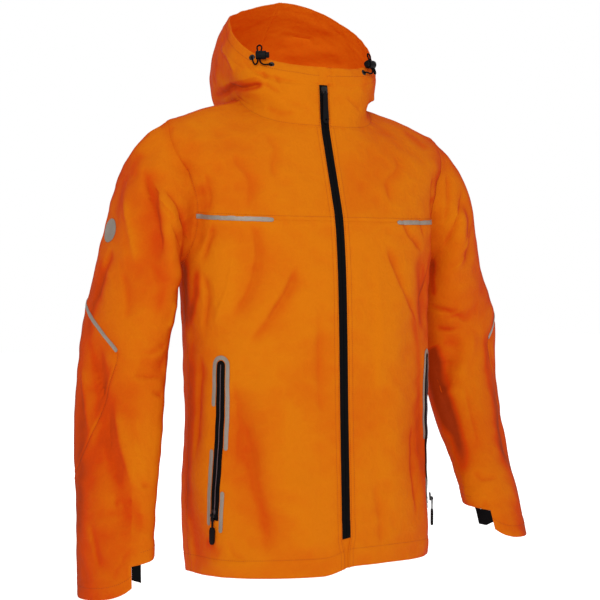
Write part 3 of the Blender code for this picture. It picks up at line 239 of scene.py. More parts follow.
CREASES = folds_of({
    ("body", "right"): [
        (0.0036, -0.0055, [(0.036, 117), (0.022, 99), (0.024, 78), (0.038, 53), (0.044, 42)]),
        (0.0035, -0.0016, [(0.044, 45), (0.036, 37), (0.028, 29)]),
        (0.0070, 0.0022, [(0.038, 106), (0.026, 90), (0.052, 56), (0.060, 42)]),
        (0.0080, 0.0020, [(0.082, 100), (0.068, 85), (0.052, 74)]),
        (0.0040, -0.0016, [(0.092, 73), (0.062, 49), (0.050, 29), (0.050, 10)]),
        (0.0050, -0.0014, [(0.028, 35), (0.018, 26), (0.014, 12)]),
        (0.0050, -0.0016, [(0.010, 54), (0.006, 37), (0.008, 20)]),
        (0.0030, -0.0014, [(0.066, 34), (0.046, 29), (0.030, 28)]),
        (0.0030, -0.0012, [(0.068, 44), (0.052, 40)]),
        (0.0040, 0.0018, [(0.090, 164), (0.096, 179)]),
        (0.0080, -0.0038, [(-0.236, 16), (-0.283, 22), (-0.330, 32), (-0.377, 45)]),
        (0.0070, -0.0032, [(-0.179, 36), (-0.223, 34), (-0.283, 40), (-0.339, 54)]),
        (0.0060, -0.0030, [(-0.184, 58), (-0.214, 64), (-0.241, 69)]),
        (0.0080, 0.0026, [(-0.223, 48), (-0.283, 54), (-0.344, 64)]),
        (0.0070, -0.0026, [(-0.254, 68), (-0.297, 67), (-0.353, 73)]),
        (0.0080, -0.0019, [(-0.027, 42), (-0.078, 32), (-0.164, 37)]),
        (0.0060, -0.0020, [(-0.091, 58), (-0.130, 59), (-0.168, 63)]),
        (0.0070, -0.0015, [(-0.008, 37), (-0.025, 23), (-0.083, 21)]),
        (0.0120, -0.0034, [(-0.481, 47), (-0.561, 43), (-0.636, 36), (-0.693, 33)]),
        (0.0130, 0.0024, [(-0.438, 24), (-0.528, 22), (-0.636, 18)]),
        (0.0100, -0.0030, [(-0.377, 76), (-0.452, 80), (-0.561, 82)]),
        (0.0050, -0.0018, [(-0.665, 57), (-0.688, 53), (-0.698, 44)]),
        (0.0060, -0.0018, [(-0.419, 53), (-0.481, 50), (-0.561, 51)]),
        (0.0070, -0.0015, [(-0.297, 9), (-0.391, 10), (-0.500, 9)]),
        (0.007, -0.0022, [(0.090, 120), (0.092, 146), (0.094, 172)]),
        (0.010, -0.0022, [(-0.200, 130), (-0.265, 125), (-0.330, 112)]),
        (0.011, -0.0018, [(-0.420, 136), (-0.490, 147), (-0.560, 150)]),
        (0.010, -0.0018, [(-0.600, 110), (-0.650, 118), (-0.700, 120)]),
        (0.0100, -0.0020, [(-0.300, 96), (-0.360, 106), (-0.420, 104)]),
        (0.0040, -0.0020, [(0.101, 140), (0.098, 156), (0.100, 176)]),
        (0.0036, -0.0022, [(0.084, 132), (0.080, 150), (0.083, 174)]),
        (0.0036, -0.0018, [(0.100, 118), (0.088, 128), (0.070, 140)]),
        (0.0040, -0.0016, [(0.062, 176), (0.058, 158), (0.062, 140)]),
    ],
    ("body", "left"): [
        (0.0040, -0.0014, [(0.034, 13), (0.024, 23), (0.014, 38)]),
        (0.0045, 0.0020, [(0.088, 177), (0.086, 147), (0.082, 110)]),
        (0.0040, 0.0016, [(0.078, 179), (0.080, 153), (0.076, 113)]),
        (0.0050, 0.0018, [(0.103, 160), (0.099, 134), (0.092, 109)]),
        (0.0050, -0.0028, [(-0.206, 18), (-0.250, 24), (-0.297, 32), (-0.349, 47)]),
        (0.0040, -0.0024, [(-0.168, 27), (-0.201, 34), (-0.228, 48)]),
        (0.0040, -0.0018, [(-0.168, 41), (-0.201, 48)]),
        (0.0090, 0.0019, [(-0.223, 13), (-0.349, 16), (-0.471, 14)]),
        (0.0070, -0.0018, [(-0.019, 39), (-0.065, 21), (-0.134, 23)]),
        (0.0080, -0.0024, [(-0.495, 39), (-0.575, 36), (-0.660, 40)]),
        (0.0080, -0.0016, [(-0.566, 10), (-0.650, 14), (-0.703, 14)]),
        (0.007, -0.0020, [(0.092, 124), (0.093, 147), (0.094, 170)]),
        (0.010, -0.0022, [(-0.210, 128), (-0.275, 117), (-0.340, 114)]),
        (0.011, -0.0018, [(-0.430, 138), (-0.510, 140), (-0.590, 150)]),
        (0.010, -0.0018, [(-0.600, 112), (-0.650, 114), (-0.700, 122)]),
        (0.006, -0.0046, [(0.015, 48), (0.013, 68), (0.010, 92)]),
        (0.0045, 0.0024, [(0.030, 50), (0.029, 70), (0.027, 90)]),
        (0.0070, -0.0022, [(-0.070, 56), (-0.130, 60), (-0.190, 68)]),
        (0.0080, -0.0024, [(-0.240, 64), (-0.280, 58), (-0.310, 48)]),
        (0.0090, -0.0020, [(-0.560, 58), (-0.620, 56), (-0.680, 62)]),
        (0.0100, -0.0020, [(-0.290, 98), (-0.350, 108), (-0.430, 104)]),
        (0.0036, -0.0020, [(0.100, 172), (0.097, 150), (0.099, 128)]),
        (0.0040, -0.0020, [(0.084, 168), (0.086, 140), (0.081, 118)]),
        (0.0036, -0.0018, [(0.070, 150), (0.066, 128), (0.068, 104)]),
    ],
    ("sleeve", "right"): [
        (0.0085, -0.0040, [(1.73, 29), (2.27, 56), (3.00, 79), (3.84, 98)]),
        (0.0070, 0.0038, [(1.82, 46), (2.00, 79), (1.82, 109)]),
        (0.0045, -0.0028, [(1.56, 65), (1.38, 85), (0.86, 134), (0.02, 160)]),
        (0.0090, 0.0030, [(3.00, 26), (3.67, 46), (4.69, 69)]),
        (0.0080, -0.0034, [(4.29, 26), (5.24, 20), (6.16, 16)]),
        (0.0036, -0.0026, [(2.36, 98), (1.82, 134)]),
        (0.0034, -0.0020, [(1.47, 98), (0.77, 144)]),
        (0.0090, -0.0026, [(4.21, 82), (5.00, 109), (6.25, 109)]),
        (0.0080, 0.0024, [(5.12, 144), (6.51, 137)]),
        (0.0070, -0.0018, [(4.94, 49), (5.65, 65), (6.66, 72)]),
        (0.0085, -0.0036, [(7.59, 23), (8.75, 43), (9.83, 52), (10.97, 65), (11.83, 79)]),
        (0.0070, 0.0020, [(8.13, 10), (9.23, 23), (10.33, 33)]),
        (0.0090, 0.0030, [(9.17, 65), (10.46, 79), (11.68, 98)]),
        (0.0040, -0.0024, [(8.41, 85), (8.35, 109), (8.25, 141)]),
        (0.0035, -0.0020, [(8.81, 115), (9.01, 144)]),
        (0.0040, -0.0018, [(7.72, 95), (7.43, 120), (7.10, 141)]),
        (0.0040, -0.0028, [(11.94, 62), (12.17, 85), (12.01, 98)]),
        (0.0040, -0.0018, [(12.40, 59), (12.41, 79), (12.32, 92)]),
        (0.0040, -0.0020, [(11.64, 109), (11.64, 134)]),
        (0.0050, -0.0016, [(12.61, 36), (13.27, 43), (14.00, 52)]),
        (0.0060, -0.0015, [(12.36, 109), (13.09, 109)]),
        (0.0070, -0.0024, [(1.0, -50), (2.2, -66), (3.6, -100)]),
        (0.0060, 0.0026, [(1.4, -78), (2.4, -104), (3.4, -140)]),
        (0.0080, -0.0024, [(4.8, -96), (5.8, -130), (6.6, -160)]),
        (0.0050, -0.0026, [(7.6, -60), (8.0, -96), (8.0, -140)]),
        (0.0050, -0.0022, [(8.8, -74), (9.0, -110), (8.8, -150)]),
        (0.0080, -0.0024, [(9.8, -56), (11.0, -72), (12.2, -100)]),
        (0.0050, -0.0020, [(12.6, -40), (12.8, -80), (12.7, -120)]),
    ],
    ("sleeve", "left"): [
        (0.0050, -0.0030, [(1.64, 43), (1.56, 98), (1.56, 147)]),
        (0.0060, 0.0024, [(2.73, 59), (3.19, 98), (4.09, 134)]),
        (0.0050, -0.0020, [(0.51, 23), (0.77, 65), (0.77, 120)]),
        (0.0040, -0.0028, [(5.54, 177), (6.00, 131), (6.97, 98)]),
        (0.0040, -0.0026, [(6.83, 160), (7.07, 120)]),
        (0.0080, 0.0022, [(8.40, 160), (8.26, 137), (7.89, 115)]),
        (0.0120, -0.0024, [(7.79, 160), (8.95, 160), (10.14, 154), (11.23, 154)]),
        (0.0050, -0.0020, [(9.09, 115), (10.48, 115), (11.73, 120)]),
        (0.0050, -0.0018, [(12.45, 147), (12.82, 131), (12.63, 95)]),
        (0.0040, -0.0016, [(13.82, 147), (13.91, 131)]),
        (0.0070, -0.0024, [(1.1, -52), (2.4, -70), (3.8, -104)]),
        (0.0060, 0.0024, [(1.6, -84), (2.6, -110), (3.6, -146)]),
        (0.0080, -0.0022, [(4.6, -90), (5.6, -122), (6.7, -150)]),
        (0.0050, -0.0026, [(7.5, -64), (7.9, -100), (8.1, -146)]),
        (0.0050, -0.0020, [(8.9, -70), (9.2, -112), (9.0, -150)]),
        (0.0080, -0.0024, [(9.6, -50), (10.8, -70), (12.4, -96)]),
        (0.0080, -0.0022, [(9.4, 40), (10.8, 52), (12.2, 50)]),
        (0.0070, -0.0020, [(3.0, 30), (4.4, 44), (5.8, 40)]),
        (0.0050, -0.0020, [(12.5, -30), (12.9, -74), (12.7, -118)]),
    ],
})
# Where the worn cloth lies flatter than its cut, or fuller at the top of the armhole
EASED = folds_of({
    ("sleeve", "right"): [
        (0.0300, -0.0060, [(0.8, 30), (1.6, 14), (3.0, 8), (4.8, 6)]),
        (0.0140, 0.0045, [(0.0, -50), (0.0, 0), (0.0, 50)]),
    ],
    ("sleeve", "left"): [
        (0.0140, 0.0035, [(0.0, -50), (0.0, 0), (0.0, 50)]),
    ],
})
# Painted shade: soft bands where the cloth's colour is painted deep red as shade. The height is a
# share of the deeper colour
SHADOWS = folds_of({
    ("sleeve", "left"): [
        (0.0110, 1.9000, [(7.60, 164), (7.80, 161), (8.89, 158), (10.01, 153), (11.26, 153),
                          (12.87, 164)]),
        (0.0060, 1.1000, [(1.07, 166), (3.98, 166), (5.27, 161)]),
        (0.0090, 0.5000, [(6.87, 76), (8.82, 71), (10.62, 60), (12.84, 74)]),
        (0.0070, 0.3500, [(7.45, 145), (7.70, 115)]),
        (0.0120, 1.8000, [(7.70, 178), (8.80, 176), (10.00, 170), (11.20, 166)]),
        (0.0060, 0.5000, [(8.30, 166), (8.20, 140), (7.90, 120)]),
        (0.0100, 0.9000, [(0.40, 176), (3.00, 180), (6.00, 186)]),
    ],
    ("body", "left"): [
        (0.0060, 0.9000, [(-0.241, 52), (-0.282, 55), (-0.322, 59)]),
        (0.0120, 0.4000, [(-0.013, 74), (-0.034, 67)]),
        (0.0090, 0.3500, [(-0.300, 35), (-0.399, 47), (-0.531, 52)]),
        (0.0080, 0.3000, [(0.082, 38), (0.044, 30)]),
    ],
    ("body", "right"): [
        (0.0080, 1.1000, [(-0.249, 72), (-0.293, 76), (-0.340, 87)]),
        (0.0130, 1.3000, [(-0.236, 84), (-0.290, 88), (-0.350, 92)]),
        (0.0130, 0.8500, [(-0.355, 87), (-0.454, 88), (-0.564, 89), (-0.670, 87)]),
        (0.0090, 0.3500, [(0.065, 99), (0.041, 104)]),
        (0.0090, 0.3000, [(-0.108, 61), (-0.172, 64)]),
        (0.0100, 0.5000, [(-0.667, 73), (-0.691, 60)]),
        (0.0042, 0.9500, [(0.030, 108), (0.022, 92), (0.024, 76), (0.038, 53), (0.044, 42)]),
    ],
    ("sleeve", "right"): [
        (0.0090, 0.6500, [(4.60, 14), (6.00, 16), (7.44, 19)]),
        (0.0120, 0.4500, [(8.65, 19), (10.92, 16), (13.20, 14)]),
        (0.0120, 0.3500, [(1.40, 11), (2.47, 27)]),
        (0.0060, 0.6000, [(4.90, 150), (6.08, 152)]),
        (0.0060, 0.6000, [(7.20, 20), (8.75, 40), (9.83, 52), (10.97, 65), (11.83, 79)]),
        (0.0100, 0.9000, [(0.40, 176), (3.00, 180), (6.00, 186)]),
    ],
})
# How far the hood's rim sinks, as degrees from the centre front and metres
RIM_DROP = {
    "right": ((104, 114, 121, 134, 148, 161, 174, 180),
              (0, 0.0040, 0.0096, 0.0153, 0.0142, 0.0104, 0.0038, 0)),
    "left": ((86, 94, 101, 114, 128, 141, 154, 168, 180),
             (0, 0.0020, 0.0050, 0.0095, 0.0110, 0.0080, 0.0045, 0.0005, 0)),
}
RIM_DROP_FOOT = 0.045
RIM_DROP_EASE = 1.3
FOLD_SAMPLES = 17
FOLD_EASING = 2
FOLD_END = 0.25
# How far a large fold has risen at its very end, and how many half widths a fold reaches
FOLD_END_RISE = 0.15
FOLD_REACH = 3.2
# A fold may cross the centre where the cloth is this near to it and this far back
CROSSING_HALF = 0.04
CROSSING_DEPTH = 0.03
# A crease leans to one side. The least width of its narrow flank is for each metre of its height.
CREASE_LEAN = 0.5
CREASE_GAIN = 1.45
CREASE_AT_SEAM = 0.55
STEEPEST_FLANK = 0.8
# Uneven cloth: seed, how many waves, the shortest, the longest and their height
SOFT_RIPPLES = (3, 10, 0.09, 0.19, 0.0012)
SMALL_RIPPLES = (8, 14, 0.022, 0.050, 0.00026)
SEAM_PUCKER = (5, 12, 0.009, 0.020, 0.00016)
PUCKER_REACH = 0.012
CALM_REACH = 0.020
# Relief along seams, hems and the zip's middle: height, width and where its middle lies
SEAM_GROOVE = (-0.0006, 0.0016, 0.0)
SEAM_SWELL = (0.0004, 0.0028, 0.0045)
ARMHOLE_SWELL = (0.0016, 0.009, 0.0)
HEM_SEWN = (-0.0006, 0.0022, 0.028)
HEM_ROLL = (-0.0007, 0.0016, 0.0)
ZIP_GAP = (-0.0010, 0.022, 0.5)
# The turned hem: how much it rises, its depth, the length of its step and how far it holds
HEM_RISE = 0.0005
HEM_DEPTH = 0.030
HEM_STEP = 0.004
HEM_REACH = 0.034
# What is left of a seam's groove at the armholes and the neck, and from where to where it returns
ARMHOLE_GROOVE = 0.10
NECK_GROOVE = 0.30
GROOVE_START = 0.004
GROOVE_RETURN = 0.012
# The main zip's rounded back, and the rise of the chin guard above it
ZIP_DOME = 0.0007
ZIP_SINK = 0.0004
ZIP_DOME_POWER = 6
GUARD_RISE = 0.0002
# How much painted shade each cause adds, as a share of the way to the cloth's shaded colour
SHADE_EVERYWHERE = 0.08
SHADE_IN_TROUGHS = 0.42
SHADE_TURNED_DOWN = 0.50
SHADE_TURNED_BACK = 0.20
SHADE_LOW_ON_BODY = 0.16
SHADE_ON_ARM = 0.24
SHADE_OUTER_ARM = 0.20
SHADE_OUTER_FOREARM = 0.75
SHADE_HOOD_SIDE = 0.30
# Depths at which a fold and a crease get the full painted shade, and how far a ridge is painted
# lighter
FULL_FOLD = 0.006
FULL_CREASE = 0.004
RIDGE_LIMIT = -0.4
LARGE_FOLD_SHARE = 0.5
TROUGH_LOSS_BEHIND = 0.6
# Where the painted shade of the low part, the arms and the hood's side begins, and over what length
LOW_PART = (-0.28, 0.25)
ARM_PART = (0.185, 0.03)
ARM_TOP = -0.02
HOOD_SIDE_PART = (0.03, 0.05)
OUTER_FROM = 0.25


# The form of the cloth

def smooth_step(t):
    """0 to 1 with level ends."""
    t = np.clip(t, 0.0, 1.0)
    return t * t * (3 - 2 * t)


def table_at(table, first, at):
    """The columns of a table at any places between its rows, smoothed."""
    values = np.array([row[first:] for row in table], float)
    knots = values[:, 0]
    low = np.maximum(np.arange(len(knots)) - 1, 0)
    high = np.minimum(np.arange(len(knots)) + 1, len(knots) - 1)
    slopes = (values[high] - values[low]) / (knots[high] - knots[low])[:, None]
    at = np.clip(np.asarray(at, float), knots[0], knots[-1])
    i = np.clip(np.searchsorted(knots, at, side="left") - 1, 0, len(knots) - 2)
    span = (knots[i + 1] - knots[i])[..., None]
    t = (at[..., None] - knots[i][..., None]) / span
    rise = (1 + 2 * t) * (1 - t) ** 2 * values[i] + t * t * (3 - 2 * t) * values[i + 1]
    rise = rise + span * (t * (1 - t) ** 2 * slopes[i] - t * t * (1 - t) * slopes[i + 1])
    return np.moveaxis(rise, -1, 0)


def tilted(points):
    """Raise the right shoulder, lower the left one and lift the hem at the zip."""
    x, z = points[..., 0], points[..., 2]
    start, width, amount = HEM_LIFT_FALL
    share = smooth_step((HEM_LIFT_TOP - z) / HEM_LIFT_HEIGHT)
    share = share * (1 - amount * smooth_step((x - start) / width))
    lift = HEM_LIFT * smooth_step((x - HEM_LIFT_START) / HEM_LIFT_WIDTH) * share
    drop = SHOULDER_TILT * x * smooth_step((z - TILT_FOOT) / TILT_RISE)
    points = points.copy()
    points[..., 2] = z + lift - drop
    return points


def body_points(level, side, angle):
    """Points of the body or hood. The angle runs from the centre front to the centre back."""
    level, angle = np.broadcast_arrays(level, angle)
    z_side, z_front, z_back, half, y_front, y_mid, y_back, power, ease = table_at(BODY, 1, level)
    along, across = np.cos(angle), np.maximum(np.sin(angle), 0.0)
    front = along > 0
    reach = np.where(front, y_front, y_back) - y_mid
    drop = np.where(front, z_front, z_back) - z_side
    shape = 2.0 / power
    x = SIGN[side] * half * across ** shape
    y = y_mid + reach * np.abs(along) ** shape
    z = z_side + drop * (1 - (1 - np.abs(along)) ** ease)
    return tilted(np.stack([x, y, z], axis=-1))


def angle_at(level, x):
    """The angle at which a section's front is x wide of the centre."""
    columns = table_at(BODY, 1, level)
    return np.arcsin(np.clip(x / columns[3], 0, 1) ** (columns[7] / 2))


def armhole_swing(level):
    """How far round the armhole has opened at this level, 0 to 1."""
    share = np.clip((level - ARMPIT_LEVEL) / (TIP_LEVEL - ARMPIT_LEVEL), 0.0, 1.0)
    return np.abs(np.sin(np.pi * share)) ** ARMHOLE_ROUNDNESS * ((share > 1e-6) & (share < 1 - 1e-6))


def front_angle(level, column):
    """The angle of a front column, from the zip's edge to the side seam or the armhole."""
    middle = (HEM_LEVEL + ZIP_END_LEVEL) / 2
    edge = np.interp(level, [middle, ZIP_END_LEVEL], [PARTED_HALF, ZIP_HALF])
    first, lap = angle_at(level, edge), angle_at(level, LAP_EDGE)
    last = np.pi / 2 - ARMHOLE_FRONT_SWING * armhole_swing(level)
    near = first + (lap - first) * np.minimum(column, 1.0)
    return near + (last - lap) * np.maximum(column - 1.0, 0.0) / (FRONT_COLUMNS - 1)


def back_angle(level, column):
    """The angle of a back column, from the centre back to the side seam or the armhole."""
    last = np.pi / 2 + ARMHOLE_BACK_SWING * armhole_swing(level)
    return np.pi + (last - np.pi) * column / BACK_COLUMNS


def ring_points(side, step, angle):
    """Points of a sleeve's plain rings. The angle runs from the outer side through the front."""
    step, angle = np.broadcast_arrays(step, angle)
    _, outer_out, outer_z, inner_out, inner_z, forward, lean, depth = table_at(ARMS[side], 0, step)
    x = (outer_out + inner_out) / 2 + (outer_out - inner_out) / 2 * np.cos(angle)
    y = forward - lean * np.cos(angle) + depth * np.sin(angle)
    z = (outer_z + inner_z) / 2 + (outer_z - inner_z) / 2 * np.cos(angle)
    placed = np.stack([SIGN[side] * x, -y, z], axis=-1)
    return np.where((step < TILT_RINGS)[..., None], tilted(placed), placed)


def armhole_points(side, angle):
    """The armhole at a ring's angle: shoulder tip, front edge, armpit, back edge."""
    turn = np.mod(angle, 2 * np.pi)
    share = np.where(turn <= np.pi, turn, 2 * np.pi - turn) / np.pi
    level = TIP_LEVEL + (ARMPIT_LEVEL - TIP_LEVEL) * share
    swing = armhole_swing(level)
    front, back = np.pi / 2 - ARMHOLE_FRONT_SWING * swing, np.pi / 2 + ARMHOLE_BACK_SWING * swing
    return body_points(level, side, np.where(turn <= np.pi, front, back))


def sleeve_points(side, step, angle, edge=None):
    """Points of a sleeve: plain rings, led into the armhole over the first three."""
    if edge is None:
        edge = armhole_points(side, angle)
    lead = 1 - smooth_step(np.asarray(step) / 3.0)
    points = ring_points(side, step, angle)
    return points + (edge - ring_points(side, np.zeros_like(angle), angle)) * lead[..., None]


def bent_step(step, column):
    """Move a ring of the net so that the panel's edges follow the strip and the leaf below it."""
    middle = (PANEL_FRONT_COLUMN - PANEL_BACK_COLUMN) / 2
    half = (PANEL_FRONT_COLUMN + PANEL_BACK_COLUMN) / 2
    offset = np.mod(column - middle + RING_POINTS / 2, RING_POINTS) - RING_POINTS / 2
    share = np.abs(offset) / half
    hold = 1 - smooth_step((share - 1) / BEND_FADE)
    reach = np.minimum(share, 1.0)
    strip = STRIP_BEND[0] + STRIP_BEND[1] * reach ** STRIP_BEND[2]
    low = LEAF_BEND[0] + LEAF_BEND[1] * (1 - reach ** LEAF_BEND[2])
    half_strip = (STRIP_RINGS[1] - STRIP_RINGS[0]) / 2
    above, below = BEND_RINGS
    knots = [0.0, above, STRIP_RINGS[0], STRIP_RINGS[1], PANEL_LOW_RING, below, FLAP_RING]
    bent = [0.0, above, strip - half_strip, strip + half_strip, low, below, FLAP_RING]
    moved = np.zeros(np.broadcast(step, column).shape)
    for i in range(len(knots) - 1):
        t = np.clip((step - knots[i]) / (knots[i + 1] - knots[i]), 0.0, 1.0)
        moved = moved + (bent[i + 1] - bent[i]) * t
    return step + (moved - step) * hold


def flap_step(side, step, column):
    """Round the corners of the cuff's long side."""
    back = RING_POINTS - FLAP_BACK_COLUMN[side]
    span = back + FLAP_FRONT_COLUMN[side]
    along = np.mod(column + back, RING_POINTS)
    outside = np.minimum(np.maximum(along - span, 0.0), RING_POINTS - along)
    rounding = np.where(along <= span, np.abs(2 * along / span - 1) ** CORNER_POWER,
                        np.clip(1 - outside, 0.0, 1.0))
    rounded_step = PALM_RING + (step - PALM_RING) * (1 - CORNER_CUT * rounding)
    return np.where(step > PALM_RING, rounded_step, step)


# The net of the cloth

def finer(knots, lengths, seams, spacing=NET_SPACING):
    """Places between a net's main lines, with two close lines on each side of a seam."""
    places = []
    for i in range(len(knots) - 1):
        count = max(1, round(lengths[i] / spacing))
        inside = {round(k / count, 6) for k in range(count)}
        for near, sign, foot in ((knots[i] in seams, 1, 0.0), (knots[i + 1] in seams, -1, 1.0)):
            for away in BESIDE_SEAM if near else ():
                if away < BESIDE_SHARE * lengths[i]:
                    inside.add(round(foot + sign * away / lengths[i], 6))
        kept = []
        for t in sorted(inside):
            if not kept or (t - kept[-1]) * lengths[i] > LEAST_SPACING:
                kept.append(t)
        places += [i + t for t in kept]
    return np.array(places + [len(knots) - 1.0])


def nearest(values, value):
    """Which of some values lies nearest to one."""
    return int(np.argmin(np.abs(np.asarray(values) - value)))


def body_levels():
    """The main rows of the net, hem to rim."""
    def spread(low, high, count):
        return [low + (high - low) * i / count for i in range(count)]

    strip = (YOKE_LEVEL - STRIP_HALF, YOKE_LEVEL, YOKE_LEVEL + STRIP_HALF)
    levels = [HEM_LEVEL, (HEM_LEVEL + ZIP_END_LEVEL) / 2]
    levels += spread(ZIP_END_LEVEL, ARMPIT_LEVEL, 13)
    levels += spread(ARMPIT_LEVEL, strip[0], 3) + list(strip)
    levels += spread(strip[2], TIP_LEVEL, 6)[1:]
    levels += spread(TIP_LEVEL, NECK_LEVEL, 3)
    levels += [row[1] for row in BODY if row[1] >= NECK_LEVEL]
    return levels


class Net:
    """Points of the cloth, and the squares between them grouped by piece."""

    def __init__(self):
        self.points = np.zeros((0, 3))
        self.pieces = {}

    def place(self, points):
        """Add a grid of points and return their numbers."""
        start = len(self.points)
        self.points = np.vstack([self.points, points.reshape(-1, 3)])
        return np.arange(start, len(self.points)).reshape(points.shape[:-1])

    def cover(self, grid, names, turned):
        """Give each square of a grid to the piece that names says."""
        a, b, c, d = grid[:-1, :-1], grid[:-1, 1:], grid[1:, 1:], grid[1:, :-1]
        if turned:
            b, d = d, b
        squares = np.stack([a, b, c, d], axis=-1)
        for name in sorted(set(names.ravel()) - {""}):
            self.pieces.setdefault(name, []).append(squares[names == name])

    def squares(self, *pieces):
        """The squares of one or more pieces."""
        return np.concatenate([block for piece in pieces for block in self.pieces[piece]])

    def normals(self):
        """Outward directions, weighted by area over every piece that meets at a point."""
        squares = self.squares(*self.pieces)
        p = self.points[squares]
        area = np.cross(p[:, 2] - p[:, 0], p[:, 3] - p[:, 1])
        total = np.zeros_like(self.points)
        for corner in range(4):
            np.add.at(total, squares[:, corner], area)
        length = np.linalg.norm(total, axis=1, keepdims=True)
        return total / np.maximum(length, 1e-12)


def sink_rim(points, side, level, angle):
    """Lower a hood's points towards its rim."""
    drop = np.interp(np.degrees(angle), *RIM_DROP[side])
    share = np.clip((level - RIM_DROP_FOOT) / (BODY[-1][1] - RIM_DROP_FOOT), 0, 1)
    points[..., 2] -= drop * share ** RIM_DROP_EASE
    return points


def add_body(net):
    """The fronts, yokes, back, zip tape and hood. Returns the grids of the two sides."""
    levels = body_levels()
    knots = [round(v, 6) for v in levels]
    seams = {round(v, 6) for v in (HEM_LEVEL, YOKE_LEVEL, NECK_LEVEL, levels[-1])}
    lengths = [abs(b - a) * (1.0 if b < TIP_LEVEL + 0.001 else SLOPE_ABOVE_TIP)
               for a, b in zip(levels, levels[1:])]
    rows = finer(knots, lengths, seams)
    level = np.interp(rows, range(len(levels)), levels)
    columns = finer(range(FRONT_COLUMNS + 1), [LAP_WIDTH] + [FRONT_COLUMN_WIDTH] * (FRONT_COLUMNS - 1),
                    {0, FRONT_COLUMNS})
    hind = finer(range(BACK_COLUMNS + 1), [BACK_COLUMN_WIDTH] * BACK_COLUMNS, {0, BACK_COLUMNS})
    middle = (rows[1:] + rows[:-1]) / 2
    mid_level = np.interp(middle, range(len(levels)), levels)
    hood, above_zip = mid_level > NECK_LEVEL, mid_level > ZIP_TOP_LEVEL
    yoke = (mid_level > YOKE_LEVEL) & ~hood
    closed = armhole_swing(level) == 0
    grids = {"rows": rows, "level": level, "columns": columns, "levels": levels}
    for side in SIGN:
        row = level[:, None]
        angle = front_angle(row, columns[None, :])
        front = net.place(sink_rim(body_points(row, side, angle), side, row, angle))
        angle = back_angle(row, hind[None, :])
        back = net.place(sink_rim(body_points(row, side, angle), side, row, angle))
        back[closed, -1] = front[closed, -1]
        if "spine" in grids:
            back[:, 0] = grids["spine"]
        grids["spine"] = back[:, 0]
        grids["front_" + side], grids["back_" + side] = front, back
        name = np.where(hood, "hood_" + side, np.where(yoke, "front_yoke_" + side,
                                                       "front_" + side))
        name = np.repeat(name[:, None], len(columns) - 1, axis=1).astype("U24")
        lap = (columns[1:] + columns[:-1]) / 2 < 1
        name[np.ix_(above_zip, lap)] = "hood_right"
        net.cover(front, name, side == "right")
        name = np.where(hood, "hood_" + side, np.where(yoke, "back_yoke", "back"))
        name = np.repeat(name[:, None], len(hind) - 1, axis=1)
        net.cover(back[:, ::-1], name, side == "right")
    return grids


ZIP_PLACES = [0, 0.08, 0.2, 0.34, 0.44, 0.475, 0.5, 0.525, 0.56, 0.66, 0.8, 0.92, 1]


def add_zip(net, grids):
    """The zip tape between the fronts, and the part of the chin guard above it."""
    right, left = grids["front_right"][:, 0], grids["front_left"][:, 0]
    rows = grids["level"] > ZIP_END_LEVEL - 1e-9
    right, left = right[rows], left[rows]
    share = np.array(ZIP_PLACES)[None, :, None]
    across = net.points[right][:, None] * (1 - share) + net.points[left][:, None] * share
    grid = net.place(across)
    grid[:, 0], grid[:, -1] = right, left
    level = grids["level"][rows]
    guard = (level[1:] + level[:-1]) / 2 > ZIP_TOP_LEVEL
    names = np.where(guard, "hood_right", "main_zip_tape")
    net.cover(grid, np.repeat(names[:, None], len(ZIP_PLACES) - 1, axis=1), False)
    grids["zip"], grids["zip_level"] = grid, level


def add_sleeve(net, grids, side):
    """A sleeve with its under piece, elbow panel and cuff tab."""
    levels, rows = grids["levels"], grids["rows"]
    tip = nearest(levels, TIP_LEVEL)
    low = tip - ARMHOLE_ROWS
    run = np.where((rows > low - 1e-9) & (rows < tip + 1e-9))[0]
    edge = np.concatenate([grids["front_" + side][run[::-1], -1],
                           grids["back_" + side][run[1:], -1]])
    columns = np.concatenate([tip - rows[run[::-1]], ARMHOLE_ROWS + rows[run[1:]] - low])
    lengths = [abs(b - a) * RING_SPACING for a, b in zip(SLEEVE_RINGS, SLEEVE_RINGS[1:])]
    places = finer(SLEEVE_RINGS, lengths,
                   {0.0, *STRIP_RINGS, PANEL_LOW_RING, PALM_RING, FLAP_RING})
    steps = np.interp(places, range(len(SLEEVE_RINGS)), SLEEVE_RINGS)
    angle = 2 * np.pi * columns / RING_POINTS
    placed = flap_step(side, bent_step(steps[:, None], columns[None, :]), columns[None, :])
    turns = np.repeat(angle[None, :], len(steps), axis=0)
    points = sleeve_points(side, placed, turns, net.points[edge][None])
    grid = net.place(points)
    grid[:, -1] = grid[:, 0]
    grid[0] = edge
    step = ((steps[1:] + steps[:-1]) / 2)[:, None]
    column = ((columns[1:] + columns[:-1]) / 2)[None, :]
    on_panel = (column < PANEL_FRONT_COLUMN) | (column > PANEL_BACK_COLUMN)
    on_panel = on_panel & (step > STRIP_RINGS[1]) & (step < PANEL_LOW_RING)
    on_flap = (column < FLAP_FRONT_COLUMN[side]) | (column > FLAP_BACK_COLUMN[side])
    palm = (step > PALM_RING) & ~on_flap
    tab = palm & (step < TAB_RING) & (column < TAB_END_COLUMN[side])
    upper = step < STRIP_RINGS[1]
    first, last = (np.where(upper, *pair) for pair in zip(UNDER_COLUMNS["upper"],
                                                          UNDER_COLUMNS["lower"]))
    names = np.where((column > first) & (column < last), "undersleeve_" + side,
                     "sleeve_" + side)
    names = np.where(on_panel, "elbow_panel_" + side, names)
    names = np.where(palm, "", names)
    names = np.where(tab, "cuff_tab_" + side, names)
    net.cover(grid, names, side == "right")
    grids["sleeve_" + side] = grid
    grids["sleeve_steps_" + side], grids["sleeve_columns_" + side] = steps, columns


# Folds, seams and hems

